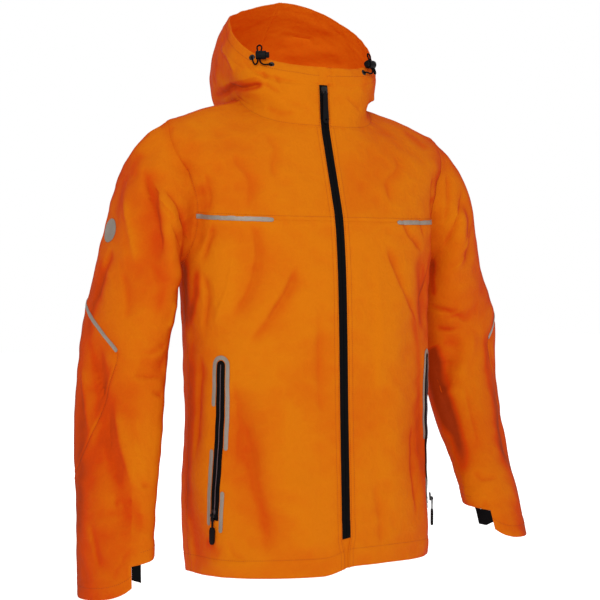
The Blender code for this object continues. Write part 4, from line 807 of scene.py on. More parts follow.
def fold_route(fold):
    """Points along a fold, on the surface that it runs on."""
    t = np.linspace(0, len(fold.places) - 1, FOLD_SAMPLES)
    a, b = (np.interp(t, range(len(fold.places)), column) for column in zip(*fold.places))
    for _ in range(FOLD_EASING):
        for row in (a, b):
            row[1:-1] = (row[:-2] + 2 * row[1:-1] + row[2:]) / 4
    b = np.radians(b)
    if fold.surface == "body":
        return body_points(a, fold.side, b)
    return sleeve_points(fold.side, a, b)


def fold_heights(points, normals, folds, leaning):
    """The height that folds give to points, softer towards their ends and, leaning, to one side."""
    heights = np.zeros(len(points))
    for fold in folds:
        route = fold_route(fold)
        reach = FOLD_REACH * fold.half_width
        near = np.all((points > route.min(0) - reach) & (points < route.max(0) + reach), axis=1)
        across_back = (np.abs(points[:, 0]) < CROSSING_HALF) & (points[:, 1] > CROSSING_DEPTH)
        near &= ((points[:, 0] > 0) == (fold.side == "left")) | across_back
        spots = points[near]
        if not len(spots):
            continue
        best = np.full(len(spots), 1e9)
        place, aside = np.zeros(len(spots)), np.zeros(len(spots))
        for i in range(len(route) - 1):
            line = route[i + 1] - route[i]
            t = np.clip((spots - route[i]) @ line / (line @ line), 0, 1)
            gap = spots - route[i] - line * t[:, None]
            away = np.linalg.norm(gap, axis=1)
            closer = away < best
            best[closer] = away[closer]
            place[closer] = (i + t[closer]) / (len(route) - 1)
            flank = np.cross(normals[near][closer], line)
            aside[closer] = np.sign(np.sum(flank * gap[closer], axis=1))
        risen = 0 if leaning else FOLD_END_RISE
        fade = smooth_step(np.minimum(place, 1 - place) / FOLD_END + risen)
        width = fold.half_width * (1 + leaning * aside)
        if leaning:
            width = np.maximum(width, STEEPEST_FLANK * abs(fold.height))
        heights[near] += fold.height * fade * np.exp(-(best / width) ** (2 - leaning))
    return heights


def bell(distance, height, width, middle):
    """A height that falls away on both sides of its middle."""
    return height * np.exp(-((distance - middle) / width) ** 2)


def ripples(points, seed, waves, shortest, longest, height):
    """Soft uneven undulation, from a sum of waves in many directions."""
    rng = np.random.default_rng(seed)
    total = np.zeros(len(points))
    for _ in range(waves):
        direction = rng.normal(size=3)
        direction /= np.linalg.norm(direction)
        length = rng.uniform(shortest, longest)
        total += np.sin(points @ direction * 2 * np.pi / length + rng.uniform(0, 2 * np.pi))
    return height * total / math.sqrt(waves / 2)


def edge_table(squares):
    """Directed edges of squares whose other side isn't among them."""
    heads = squares.reshape(-1)
    tails = np.roll(squares, -1, axis=1).reshape(-1)
    keep = heads != tails
    heads, tails = heads[keep].astype(np.int64), tails[keep].astype(np.int64)
    big = max(heads.max(), tails.max()) + 1
    codes, reverse = heads * big + tails, tails * big + heads
    alone = ~np.isin(codes, reverse)
    return np.stack([heads[alone], tails[alone]], axis=1)


def distance_to(points, marks):
    """How far each point is from the nearest of some marks."""
    tree = KDTree(len(marks))
    for i, mark in enumerate(marks):
        tree.insert(mark, i)
    tree.balance()
    return np.array([tree.find(point)[2] for point in points])


def dense(points, edges, parts=4):
    """Points spread along edges."""
    start, end = points[edges[:, 0]], points[edges[:, 1]]
    return np.concatenate([start + (end - start) * k / parts for k in range(parts)])


def crease_heights(net, normals, from_seam):
    """Creases, uneven cloth and the pucker along the seams, as heights."""
    fine = fold_heights(net.points, normals, CREASES, CREASE_LEAN)
    fine *= CREASE_GAIN
    soft = ripples(net.points, *SOFT_RIPPLES)
    small = ripples(net.points, *SMALL_RIPPLES)
    calm = smooth_step(from_seam / CALM_REACH)
    fine = fine * (CREASE_AT_SEAM + (1 - CREASE_AT_SEAM) * calm) + soft * calm + small
    return fine + ripples(net.points, *SEAM_PUCKER) * bell(from_seam, 1.0, PUCKER_REACH, 0.0)


def seam_heights(net, grids, from_seam, from_hem):
    """The grooves of the seams and the turned, sewn hems, as heights."""
    groove = bell(from_seam, *SEAM_GROOVE) + bell(from_seam, *SEAM_SWELL)
    rings = [net.points[grids["sleeve_" + side][0]] for side in SIGN]
    from_hole = distance_to(net.points, np.concatenate(rings))
    back = smooth_step((from_hole - GROOVE_START) / GROOVE_RETURN)
    groove *= ARMHOLE_GROOVE + (1 - ARMHOLE_GROOVE) * back
    neck = nearest(grids["level"], NECK_LEVEL)
    foot = [net.points[grids[name + side][neck]] for name in ("front_", "back_") for side in SIGN]
    from_neck = distance_to(net.points, np.concatenate(foot))
    back = smooth_step((from_neck - GROOVE_START) / GROOVE_RETURN)
    groove *= NECK_GROOVE + (1 - NECK_GROOVE) * back
    groove += bell(from_hole, *ARMHOLE_SWELL)
    groove[(from_hem < HEM_REACH) & (from_hem < from_seam + 1e-5)] = 0
    turned = HEM_RISE * smooth_step((HEM_DEPTH - from_hem) / HEM_STEP)
    return groove + turned + bell(from_hem, *HEM_SEWN) + bell(from_hem, *HEM_ROLL)


def round_zip(grids, relief):
    """Put the main zip's two rounded rows and the chin guard's rise into the relief."""
    tape = grids["zip"]
    on_tape = grids["zip_level"] < ZIP_TOP_LEVEL + 1e-9
    places = np.array(ZIP_PLACES)
    dome = ZIP_DOME * (1 - np.abs(2 * places - 1) ** ZIP_DOME_POWER) - ZIP_SINK
    dome += bell(places, *ZIP_GAP)
    for column in range(1, len(places) - 1):
        relief[tape[on_tape, column]] = dome[column]
        relief[tape[~on_tape, column]] = GUARD_RISE


def shape_cloth(net, grids):
    """Fold, crease and seam the net. Returns the outward directions and the fold heights."""
    normals = net.normals()
    still = np.zeros(len(net.points), bool)
    for side in SIGN:
        still[grids["front_" + side][:, 0]] = True
    still[grids["zip"].ravel()] = True
    rise = fold_heights(net.points, normals, FOLDS, 0)
    eased = fold_heights(net.points, normals, EASED, 0)
    rise[still] = 0
    eased[still] = 0
    net.points = net.points + normals * (rise + eased)[:, None]
    normals = net.normals()

    hem = edge_table(net.squares(*net.pieces))
    from_hem = distance_to(net.points, dense(net.points, hem))
    seams = np.concatenate([edge_table(net.squares(piece)) for piece in net.pieces])
    from_seam = distance_to(net.points, dense(net.points, seams))
    fine = crease_heights(net, normals, from_seam)
    fine[still] = 0
    relief = seam_heights(net, grids, from_seam, from_hem)
    round_zip(grids, relief)
    net.points = net.points + normals * (fine + relief)[:, None]
    return net.normals(), rise, fine


# Pieces

def wall(name, points, normals, squares, top, bottom, values=None, inner_slot=0):
    """A closed wall of cloth over squares, from its top height down to its bottom height.

    Each square splits along its shorter diagonal, and in the same way on both faces.
    """
    corners = points[squares]
    spans = [np.linalg.norm(corners[:, k + 2] - corners[:, k], axis=1) for k in (0, 1)]
    squares = np.where((spans[0] > spans[1])[:, None], np.roll(squares, 1, axis=1), squares)
    border = edge_table(squares)
    line = points[border[:, 1]] - points[border[:, 0]]
    pulled = points.copy()
    total = np.zeros_like(points)
    for end in (0, 1):
        aside = np.cross(normals[border[:, end]], line)
        aside /= np.maximum(np.linalg.norm(aside, axis=1, keepdims=True), 1e-12)
        np.add.at(total, border[:, end], aside)
    length = np.linalg.norm(total, axis=1, keepdims=True)
    moved = length[:, 0] > 1e-6
    pulled[moved] += total[moved] / length[moved] * SEAM_GAP / 2
    used = np.unique(squares)
    number = np.full(len(points), -1)
    number[used] = np.arange(len(used))
    count = len(used)
    verts = np.vstack([pulled[used] + normals[used] * top, pulled[used] + normals[used] * bottom])
    outer = number[squares]
    inner = outer[:, [0, 3, 2, 1]] + count
    a, b = number[border[:, 0]], number[border[:, 1]]
    rim = np.stack([b, a, a + count, b + count], axis=1)
    faces = np.concatenate([outer, inner, rim])
    mesh = bpy.data.meshes.new(name)
    mesh.from_pydata(verts.tolist(), [], faces.tolist())
    mesh.validate()
    mesh.polygons.foreach_set("use_smooth", np.ones(len(mesh.polygons), bool))
    mesh.set_sharp_from_angle(angle=math.radians(50))
    if inner_slot and len(mesh.polygons) == len(faces):
        slots = np.zeros(len(faces), np.int32)
        slots[len(outer):len(outer) + len(inner)] = inner_slot
        mesh.polygons.foreach_set("material_index", slots)
    if values is not None:
        for key, value in values.items():
            layer = mesh.attributes.new(key, "FLOAT", "POINT")
            layer.data.foreach_set("value", np.tile(value[used], 2).astype(np.float32))
    return mesh


def add_piece(name, mesh, finishes, body="jacket", replaces=()):
    """Put a mesh in the scene, riding on a body, in place of its solids."""
    for finish in finishes:
        mesh.materials.append(FINISHES[finish])
    made = bpy.data.objects.new(name, mesh)
    bpy.context.scene.collection.objects.link(made)
    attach(made, body)
    if replaces:
        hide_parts(*replaces)
    return made


def surface_tree(net, pieces):
    """The cloth's outer surface, for placing what lies on it."""
    squares = net.squares(*pieces)
    return BVHTree.FromPolygons([Vector(p) for p in net.points], squares.tolist())


def patch_points(tree, spot, across, up, out, radius, count=18):
    """A round patch's points on the cloth, on a square net bent to a disc."""
    side = np.linspace(-1, 1, count)
    a, b = np.meshgrid(side, side)
    u, v = a * np.sqrt(1 - b * b / 2) * radius, b * np.sqrt(1 - a * a / 2) * radius
    points, outs = np.zeros((count, count, 3)), np.zeros((count, count, 3))
    for i in range(count):
        for j in range(count):
            start = spot + across * u[i, j] + up * v[i, j] + out * PATCH_START
            place, direction = tree.ray_cast(start, -out, PATCH_REACH)[:2]
            points[i, j], outs[i, j] = place, direction
    return points, outs


def laid_wall(name, points, outs, rise, thick, crown=0.0):
    """A thin wall that lies on the cloth, over a grid of its points."""
    count = points.shape[0] * points.shape[1]
    grid = np.arange(count).reshape(points.shape[:2])
    squares = np.stack([grid[:-1, :-1], grid[:-1, 1:], grid[1:, 1:], grid[1:, :-1]], axis=-1)
    height = np.broadcast_to(np.asarray(crown), points.shape[:2])[..., None]
    flat = (points + outs * height).reshape(-1, 3)
    outs = outs.reshape(-1, 3)
    outs = outs / np.linalg.norm(outs, axis=1, keepdims=True)
    return wall(name, flat, outs, squares.reshape(-1, 4), rise + thick, rise)


def evened(path, spacing):
    """Points at an even spacing along a line."""
    path = np.array(path, float)
    run = np.concatenate([[0], np.cumsum(np.linalg.norm(np.diff(path, axis=0), axis=1))])
    count = max(2, round(run[-1] / spacing))
    at = np.linspace(0, run[-1], count + 1)
    return np.stack([np.interp(at, run, path[:, k]) for k in range(3)], axis=1), at


ROUND_END_PLACES = (0.04, 0.15, 0.35, 0.65)


def strip_points(tree, path, half, round_ends, across=5, spacing=0.0022):
    """Points of a strip of trim along a line, laid on the cloth, with rounded ends."""
    path, at = evened(path, spacing)
    ends = [at[-1] * 0, at[-1]]
    extra = [ends[0] + half * k for k in ROUND_END_PLACES] if round_ends[0] else []
    extra += [ends[1] - half * k for k in ROUND_END_PLACES] if round_ends[1] else []
    stops = np.unique(np.concatenate([at, extra]))
    path = np.stack([np.interp(stops, at, path[:, k]) for k in range(3)], axis=1)
    tangents = np.gradient(path, axis=0)
    points, outs = np.zeros((len(path), across, 3)), np.zeros((len(path), across, 3))
    for i, (spot, tangent) in enumerate(zip(path, tangents)):
        near, out = tree.find_nearest(Vector(spot))[:2]
        side = Vector(tangent).cross(out).normalized()
        width = half
        for flag, away in ((round_ends[0], stops[i]), (round_ends[1], at[-1] - stops[i])):
            if flag and away < half:
                width = min(width, math.sqrt(max(half ** 2 - (half - away) ** 2, 1e-9)))
        low = tree.find_nearest(near - side * width)[0]
        high = tree.find_nearest(near + side * width)[0]
        for k in range(across):
            t = k / (across - 1)
            points[i, k] = low.lerp(high, t)
            outs[i, k] = out
    return points, outs


# Finishes

def group_of(name, inputs, outputs):
    """A new group of shader nodes with named sockets."""
    made = bpy.data.node_groups.new(name, "ShaderNodeTree")
    for label, value in inputs.items():
        socket = made.interface.new_socket(label, in_out="INPUT", socket_type="NodeSocketFloat")
        socket.default_value = value
    for label in outputs:
        made.interface.new_socket(label, in_out="OUTPUT", socket_type="NodeSocketFloat")
    return made, made.nodes.new("NodeGroupInput"), made.nodes.new("NodeGroupOutput")


def calculate(tree, operation, a, b=None):
    """A math node over two values or sockets."""
    node = tree.nodes.new("ShaderNodeMath")
    node.operation = operation
    for i, value in enumerate((a, b)):
        if value is None:
            continue
        if isinstance(value, (int, float)):
            node.inputs[i].default_value = value
        else:
            tree.links.new(value, node.inputs[i])
    return node.outputs[0]


def noise_on(tree, coordinates, scale, detail=2.0, roughness=0.5):
    """Noise over coordinates, centred on a half."""
    node = tree.nodes.new("ShaderNodeTexNoise")
    node.inputs["Detail"].default_value = detail
    node.inputs["Roughness"].default_value = roughness
    if isinstance(scale, (int, float)):
        node.inputs["Scale"].default_value = scale
    else:
        tree.links.new(scale, node.inputs["Scale"])
    tree.links.new(coordinates, node.inputs["Vector"])
    return node.outputs["Fac"]


def weave_group():
    """Fine threads crossing in all directions, as a height and as a fleck of colour."""
    made, source, sink = group_of("plain weave", {"Threads per metre": 1400.0},
                                  ["Height", "Fleck"])
    place = made.nodes.new("ShaderNodeTexCoord").outputs["Object"]
    parts = made.nodes.new("ShaderNodeSeparateXYZ")
    made.links.new(place, parts.inputs[0])
    waves = []
    for axis in range(3):
        turn = calculate(made, "MULTIPLY", parts.outputs[axis], source.outputs[0])
        turn = calculate(made, "MULTIPLY", turn, 2 * math.pi)
        waves.append(calculate(made, "SINE", turn))
    first = calculate(made, "MULTIPLY", waves[0], waves[2])
    second = calculate(made, "MULTIPLY", waves[1], waves[2])
    height = calculate(made, "MULTIPLY", calculate(made, "ADD", first, second), 0.35)
    made.links.new(calculate(made, "ADD", height, 0.5), sink.inputs["Height"])
    made.links.new(noise_on(made, place, 900.0, 1.0), sink.inputs["Fleck"])
    return made


def crumple_group():
    """Small soft dents, as cloth that was handled keeps."""
    made, source, sink = group_of("handled cloth", {"Dents per metre": 38.0}, ["Height", "Cloud"])
    place = made.nodes.new("ShaderNodeTexCoord").outputs["Object"]
    wide = noise_on(made, place, source.outputs[0], 2.0, 0.45)
    ridge = calculate(made, "ABSOLUTE", calculate(made, "SUBTRACT", wide, 0.5))
    close = noise_on(made, place, calculate(made, "MULTIPLY", source.outputs[0], 3.6), 2.0, 0.5)
    height = calculate(made, "ADD", calculate(made, "MULTIPLY", ridge, -1.2),
                       calculate(made, "MULTIPLY", close, 0.25))
    made.links.new(height, sink.inputs["Height"])
    made.links.new(noise_on(made, place, 9.0, 3.0), sink.inputs["Cloud"])
    return made


def blank(name):
    """A new material with its shader and output."""
    made = bpy.data.materials.new(name)
    made.use_nodes = True
    return made, made.node_tree, made.node_tree.nodes["Principled BSDF"]


def placed_group(tree, group, **values):
    """A group's node with its own values."""
    node = tree.nodes.new("ShaderNodeGroup")
    node.node_tree = group
    for label, value in values.items():
        node.inputs[label.replace("_", " ")].default_value = value
    return node


def add_bump(tree, shader, heights):
    """Bumps from several heights: socket, strength and depth."""
    before = None
    for height, strength, depth in heights:
        bump = tree.nodes.new("ShaderNodeBump")
        bump.inputs["Strength"].default_value = strength
        bump.inputs["Distance"].default_value = depth
        tree.links.new(height, bump.inputs["Height"])
        if before:
            tree.links.new(before, bump.inputs["Normal"])
        before = bump.outputs["Normal"]
    tree.links.new(before, shader.inputs["Normal"])


def mixed(tree, share, first, second):
    """A colour between two, by a share."""
    node = tree.nodes.new("ShaderNodeMix")
    node.data_type = "RGBA"
    for identifier, value in (("A_Color", first), ("B_Color", second)):
        socket = next(s for s in node.inputs if s.identifier == identifier)
        if isinstance(value, tuple):
            socket.default_value = (*value, 1.0)
        else:
            tree.links.new(value, socket)
    factor = next(s for s in node.inputs if s.identifier == "Factor_Float")
    tree.links.new(share, factor)
    return next(s for s in node.outputs if s.identifier == "Result_Color")


# What reddens the shell in the finish: a random cloud of tone, and painted shade in its dents and
# where it turns from view
CLOUD_SHARE = 0.20
DENT_SHADE = -0.4
TURNED_SHADE = 1.3
TURNED_POWER = 2.6
FLECK_SHARE = 0.10
FLECK_TONE = 0.55


def shell_cloth(name, weave, crumple, lit, shaded, deep_shade, rough, painted_glow):
    """The hi-vis shell, with painted light and shade: its colour yellower as if lit and redder as
    painted shade in its troughs.
    """
    made, tree, shader = blank(name)
    threads = placed_group(tree, weave)
    dents = placed_group(tree, crumple)
    painted_shade = tree.nodes.new("ShaderNodeAttribute")
    painted_shade.attribute_name = "painted_shade"
    cloud = calculate(tree, "SUBTRACT", dents.outputs["Cloud"], 0.5)
    share = calculate(tree, "ADD", painted_shade.outputs["Fac"],
                      calculate(tree, "MULTIPLY", cloud, CLOUD_SHARE))
    # Painted shade: faces turned from view are painted redder
    turned = tree.nodes.new("ShaderNodeLayerWeight")
    turned.inputs["Blend"].default_value = 0.5
    away = calculate(tree, "POWER", turned.outputs["Facing"], TURNED_POWER)
    share = calculate(tree, "ADD", share, calculate(tree, "MULTIPLY", away, TURNED_SHADE))
    # Painted shade: the dents are painted redder
    dent_shade = calculate(tree, "MULTIPLY", dents.outputs["Height"], DENT_SHADE)
    share = calculate(tree, "ADD", share, dent_shade)
    first = calculate(tree, "MINIMUM", calculate(tree, "MAXIMUM", share, 0.0), 1.0)
    colour = mixed(tree, first, lit, shaded)
    second = calculate(tree, "MAXIMUM", calculate(tree, "SUBTRACT", share, 1.0), 0.0)
    colour = mixed(tree, calculate(tree, "MINIMUM", second, 1.0), colour, deep_shade)
    fleck = calculate(tree, "MULTIPLY", threads.outputs["Fleck"], FLECK_SHARE)
    colour = mixed(tree, fleck, colour, tuple(FLECK_TONE * v for v in lit))
    tree.links.new(colour, shader.inputs["Base Color"])
    rougher = calculate(tree, "ADD", rough - 0.04, calculate(tree, "MULTIPLY",
                                                             threads.outputs["Fleck"], 0.08))
    tree.links.new(rougher, shader.inputs["Roughness"])
    shader.inputs["IOR"].default_value = 1.25
    shader.inputs["Specular IOR Level"].default_value = 0.25
    shader.inputs["Specular Tint"].default_value = (1.0, 0.45, 0.10, 1.0)
    shader.inputs["Sheen Weight"].default_value = 0.02
    shader.inputs["Sheen Roughness"].default_value = 0.5
    shader.inputs["Sheen Tint"].default_value = (1.0, 0.45, 0.08, 1.0)
    # A constant red glow, partly the dye's fluorescence and partly painted light that lifts the shaded
    # red
    shader.inputs["Emission Color"].default_value = (1.0, 0.07, 0.0, 1.0)
    shader.inputs["Emission Strength"].default_value = painted_glow
    add_bump(tree, shader, [(dents.outputs["Height"], 0.60, 0.0042),
                            (threads.outputs["Height"], 0.18, 0.0002)])
    return made


def plain_finish(name, weave, base, dark, rough, metal, grain, depth, spread, specular=0.5):
    """Trim, tape, moulded and coated parts: grain, uneven tone and worn roughness."""
    made, tree, shader = blank(name)
    place = tree.nodes.new("ShaderNodeTexCoord").outputs["Object"]
    cloud = noise_on(tree, place, spread, 3.0)
    colour = mixed(tree, cloud, base, dark)
    tree.links.new(colour, shader.inputs["Base Color"])
    fine = noise_on(tree, place, grain, 2.0)
    rougher = calculate(tree, "ADD", rough - 0.06, calculate(tree, "MULTIPLY", fine, 0.12))
    tree.links.new(rougher, shader.inputs["Roughness"])
    shader.inputs["Metallic"].default_value = metal
    shader.inputs["Specular IOR Level"].default_value = specular
    heights = [(fine, 0.25, depth)]
    if weave:
        threads = placed_group(tree, weave, Threads_per_metre=900.0)
        heights.append((threads.outputs["Height"], 0.35, 0.0003))
    add_bump(tree, shader, heights)
    return made


def make_finishes():
    """Every finish of the jacket."""
    weave, crumple = weave_group(), crumple_group()
    return {
        # The shell's lit, shaded and deep colours are painted light and shade
        "orange cloth": shell_cloth("orange shell", weave, crumple, (0.395, 0.120, 0.0030),
                                    (0.340, 0.030, 0.0022), (0.100, 0.009, 0.0035), 0.86, 0.15),
        # The inner face: a lighter copy with a stronger glow, painted light for the cloth's inside
        "orange shaded": shell_cloth("orange inner face", weave, crumple, (0.470, 0.150, 0.005),
                                     (0.440, 0.085, 0.004), (0.300, 0.040, 0.004), 0.88, 0.23),
        "orange thread": plain_finish("orange thread", None, (0.330, 0.050, 0.003),
                                      (0.260, 0.028, 0.002), 0.7, 0.0, 2600.0, 0.0001, 300.0,
                                      0.15),
        "reflective grey": plain_finish("reflective trim", weave, (0.235, 0.190, 0.155),
                                        (0.170, 0.135, 0.108), 0.42, 0.15, 3000.0, 0.00008, 60.0),
        "black tape": plain_finish("black tape", weave, (0.003, 0.0025, 0.003),
                                   (0.0015, 0.0015, 0.0015), 0.85, 0.0, 1800.0, 0.0002, 90.0,
                                   0.05),
        "black plastic": plain_finish("moulded black", None, (0.006, 0.005, 0.006),
                                      (0.003, 0.003, 0.003), 0.48, 0.0, 1500.0, 0.0001, 120.0,
                                      0.05),
        "black metal": plain_finish("coated metal", None, (0.018, 0.017, 0.018),
                                    (0.010, 0.010, 0.011), 0.36, 0.60, 2200.0, 0.00006, 160.0),
        # The coil's lighter colour is a painted highlight where the zip's lips meet
        "painted coil highlight": plain_finish("zip coil", None, (0.090, 0.040, 0.045),
                                    (0.040, 0.018, 0.020), 0.45, 0.0, 1500.0, 0.0001, 200.0),
    }


# Stitching

STITCH_PITCH = 0.0033
STITCH_LENGTH = 0.0025
THREAD_RADIUS = 0.00030


def stitch_tree():
    """Geometry nodes: short rounded stitches along lines that know which way is out."""
    made = bpy.data.node_groups.new("topstitching", "GeometryNodeTree")
    made.interface.new_socket("Lines", in_out="INPUT", socket_type="NodeSocketGeometry")
    sizes = {"Stitch pitch": STITCH_PITCH, "Stitch length": STITCH_LENGTH,
             "Thread radius": THREAD_RADIUS}
    for label, value in sizes.items():
        socket = made.interface.new_socket(label, in_out="INPUT", socket_type="NodeSocketFloat")
        socket.default_value = value
    made.interface.new_socket("Thread", in_out="INPUT", socket_type="NodeSocketMaterial")
    made.interface.new_socket("Stitches", in_out="OUTPUT", socket_type="NodeSocketGeometry")
    nodes, links = made.nodes, made.links
    source, sink = nodes.new("NodeGroupInput"), nodes.new("NodeGroupOutput")
    curve = nodes.new("GeometryNodeMeshToCurve")
    links.new(source.outputs["Lines"], curve.inputs["Mesh"])
    spaced = nodes.new("GeometryNodeResampleCurve")
    spaced.mode = "LENGTH"
    links.new(curve.outputs["Curve"], spaced.inputs["Curve"])
    links.new(source.outputs["Stitch pitch"], spaced.inputs["Length"])
    bead = nodes.new("GeometryNodeMeshUVSphere")
    bead.inputs["Segments"].default_value = 5
    bead.inputs["Rings"].default_value = 4
    bead.inputs["Radius"].default_value = 1.0
    along = nodes.new("FunctionNodeAlignRotationToVector")
    along.axis = "X"
    links.new(nodes.new("GeometryNodeInputTangent").outputs[0], along.inputs["Vector"])
    upright = nodes.new("FunctionNodeAlignRotationToVector")
    upright.axis, upright.pivot_axis = "Z", "X"
    outward = nodes.new("GeometryNodeInputNamedAttribute")
    outward.data_type = "FLOAT_VECTOR"
    outward.inputs["Name"].default_value = "out"
    links.new(along.outputs["Rotation"], upright.inputs["Rotation"])
    links.new(outward.outputs["Attribute"], upright.inputs["Vector"])
    half = nodes.new("ShaderNodeMath")
    half.operation = "MULTIPLY"
    half.inputs[1].default_value = 0.5
    links.new(source.outputs["Stitch length"], half.inputs[0])
    size = nodes.new("ShaderNodeCombineXYZ")
    links.new(half.outputs[0], size.inputs[0])
    links.new(source.outputs["Thread radius"], size.inputs[1])
    links.new(source.outputs["Thread radius"], size.inputs[2])
    spread = nodes.new("GeometryNodeInstanceOnPoints")
    links.new(spaced.outputs["Curve"], spread.inputs["Points"])
    links.new(bead.outputs["Mesh"], spread.inputs["Instance"])
    links.new(upright.outputs["Rotation"], spread.inputs["Rotation"])
    links.new(size.outputs[0], spread.inputs["Scale"])
    real = nodes.new("GeometryNodeRealizeInstances")
    links.new(spread.outputs["Instances"], real.inputs["Geometry"])
    finish = nodes.new("GeometryNodeSetMaterial")
    links.new(real.outputs["Geometry"], finish.inputs["Geometry"])
    links.new(source.outputs["Thread"], finish.inputs["Material"])
    links.new(finish.outputs["Geometry"], sink.inputs["Stitches"])
    return made


def sew(name, group, lines):
    """Run stitches along lines of points and outward directions, and keep them as one mesh."""
    mesh = bpy.data.meshes.new(name)
    verts, edges, outs = [], [], []
    for points, directions in lines:
        start = len(verts)
        verts += [tuple(p) for p in points]
        outs += [tuple(d) for d in directions]
        edges += [(start + i, start + i + 1) for i in range(len(points) - 1)]
    mesh.from_pydata(verts, edges, [])
    layer = mesh.attributes.new("out", "FLOAT_VECTOR", "POINT")
    layer.data.foreach_set("vector", np.array(outs, np.float32).ravel())
    carrier = bpy.data.objects.new(name, mesh)
    bpy.context.scene.collection.objects.link(carrier)
    change = carrier.modifiers.new("stitches", "NODES")
    change.node_group = group
    keys = {item.name: item.identifier for item in group.interface.items_tree
            if item.in_out == "INPUT"}
    change[keys["Stitch pitch"]] = STITCH_PITCH
    change[keys["Stitch length"]] = STITCH_LENGTH
    change[keys["Thread radius"]] = THREAD_RADIUS
    change[keys["Thread"]] = FINISHES["orange thread"]
    graph = bpy.context.evaluated_depsgraph_get()
    graph.update()
    made = bpy.data.meshes.new_from_object(carrier.evaluated_get(graph))
    made.name = name
    bpy.data.objects.remove(carrier, do_unlink=True)
    made.polygons.foreach_set("use_smooth", np.ones(len(made.polygons), bool))
    item = bpy.data.objects.new(name, made)
    bpy.context.scene.collection.objects.link(item)
    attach(item, "jacket")


def beside(net, tree, line, inner, distance, lift=0.0002):
    """A line of stitches on the cloth, at a distance from a seam towards a line inside it."""
    points = net.points[line]
    toward = net.points[inner] - points
    toward /= np.maximum(np.linalg.norm(toward, axis=1, keepdims=True), 1e-9)
    spots, outs = [], []
    for start, direction in zip(points, toward):
        place, out = tree.find_nearest(Vector(start + direction * distance))[:2]
        spots.append(place + out * lift)
        outs.append(out)
    return spots, outs


# The jacket

# Each piece of cloth: its solids, the width and length that it is cut to, and its area
CLOTH_PIECES = {
    "back": (["back"], (0.560, 0.580), 0.293),
    "back_yoke": (["back_yoke"], (0.562, 0.290), 0.099),
    "front_right": (["front_right"], (0.282, 0.570), 0.146),
    "front_left": (["front_left"], (0.280, 0.556), 0.141),
    "front_yoke_right": (["front_yoke_right"], (0.278, 0.281), 0.0415),
    "front_yoke_left": (["front_yoke_left"], (0.275, 0.275), 0.041),
    "hood_right": (["hood_right"], (0.431, 0.342), 0.0705),
    "hood_left": (["hood_left"], (0.424, 0.343), 0.0692),
    "sleeve_right": (["sleeve_cap_right", "sleeve_upper_right", "sleeve_lower_right"],
                     (0.380, 0.772), 0.145),
    "sleeve_left": (["sleeve_cap_left", "sleeve_upper_left", "sleeve_lower_left"],
                    (0.360, 0.736), 0.1365),
    "undersleeve_right": (["undersleeve_upper_right", "undersleeve_lower_right"],
                          (0.170, 0.490), 0.0473),
    "undersleeve_left": (["undersleeve_upper_left", "undersleeve_lower_left"],
                         (0.178, 0.464), 0.044),
    "elbow_panel_right": (["elbow_panel_right"], (0.322, 0.247), 0.0538),
    "elbow_panel_left": (["elbow_panel_left"], (0.348, 0.242), 0.0533),
    "cuff_tab_right": (["cuff_tab_right"], (0.0165, 0.025), 0.00034),
    "cuff_tab_left": (["cuff_tab_left"], (0.034, 0.025), 0.00062),
    "main_zip_tape": (["main_zip_tape"], (0.0145, 0.740), 0.0107),
}


def painted_shade_of(points, normals, folded, creased):
    """Painted shade, as a share towards the shaded colour: in troughs, under the arms and on faces
    turned down or aside.
    """
    wide, height = np.abs(points[:, 0]), points[:, 2]
    trough = LARGE_FOLD_SHARE * np.clip(-folded / FULL_FOLD, RIDGE_LIMIT, 1.0)
    trough += np.clip(-creased / FULL_CREASE, RIDGE_LIMIT, 1.0)
    down = np.clip(-normals[:, 2], 0, 1)
    outer = np.clip(normals[:, 0] * np.sign(points[:, 0]) - OUTER_FROM, 0, 1)
    behind = np.clip(normals[:, 1], 0, 1)
    trough *= 1 - TROUGH_LOSS_BEHIND * behind
    low = smooth_step((LOW_PART[0] - height) / LOW_PART[1])
    arm = smooth_step((wide - ARM_PART[0] - ARM_PART[1] * low) / ARM_PART[1]) * (height < ARM_TOP)
    share = SHADE_EVERYWHERE + SHADE_IN_TROUGHS * trough + SHADE_TURNED_DOWN * down
    share += SHADE_TURNED_BACK * behind + SHADE_LOW_ON_BODY * low * (1 - arm)
    share += arm * (SHADE_ON_ARM + SHADE_OUTER_FOREARM * outer * low + SHADE_OUTER_ARM * outer)
    share += SHADE_HOOD_SIDE * smooth_step((height - HOOD_SIDE_PART[0]) / HOOD_SIDE_PART[1]) * outer
    share = np.clip(share, 0.0, 1.0) + fold_heights(points, normals, SHADOWS, 0)
    return np.clip(share, 0.0, 2.0)


def dress_cloth(net, normals, painted_shade):
    """The cut pieces of cloth, each in place of its own solids."""
    made = {}
    for piece, (solids, _, _) in CLOTH_PIECES.items():
        dark = piece.startswith("cuff_tab") or piece == "main_zip_tape"
        finishes = ["black tape"] if dark else ["orange cloth", "orange shaded"]
        mesh = wall(piece + "_cloth", net.points, normals, net.squares(piece), 0.0, -CLOTH,
                    {"painted_shade": painted_shade}, 0 if dark else 1)
        made[piece] = add_piece(piece + "_cloth", mesh, finishes, replaces=solids)
    return made


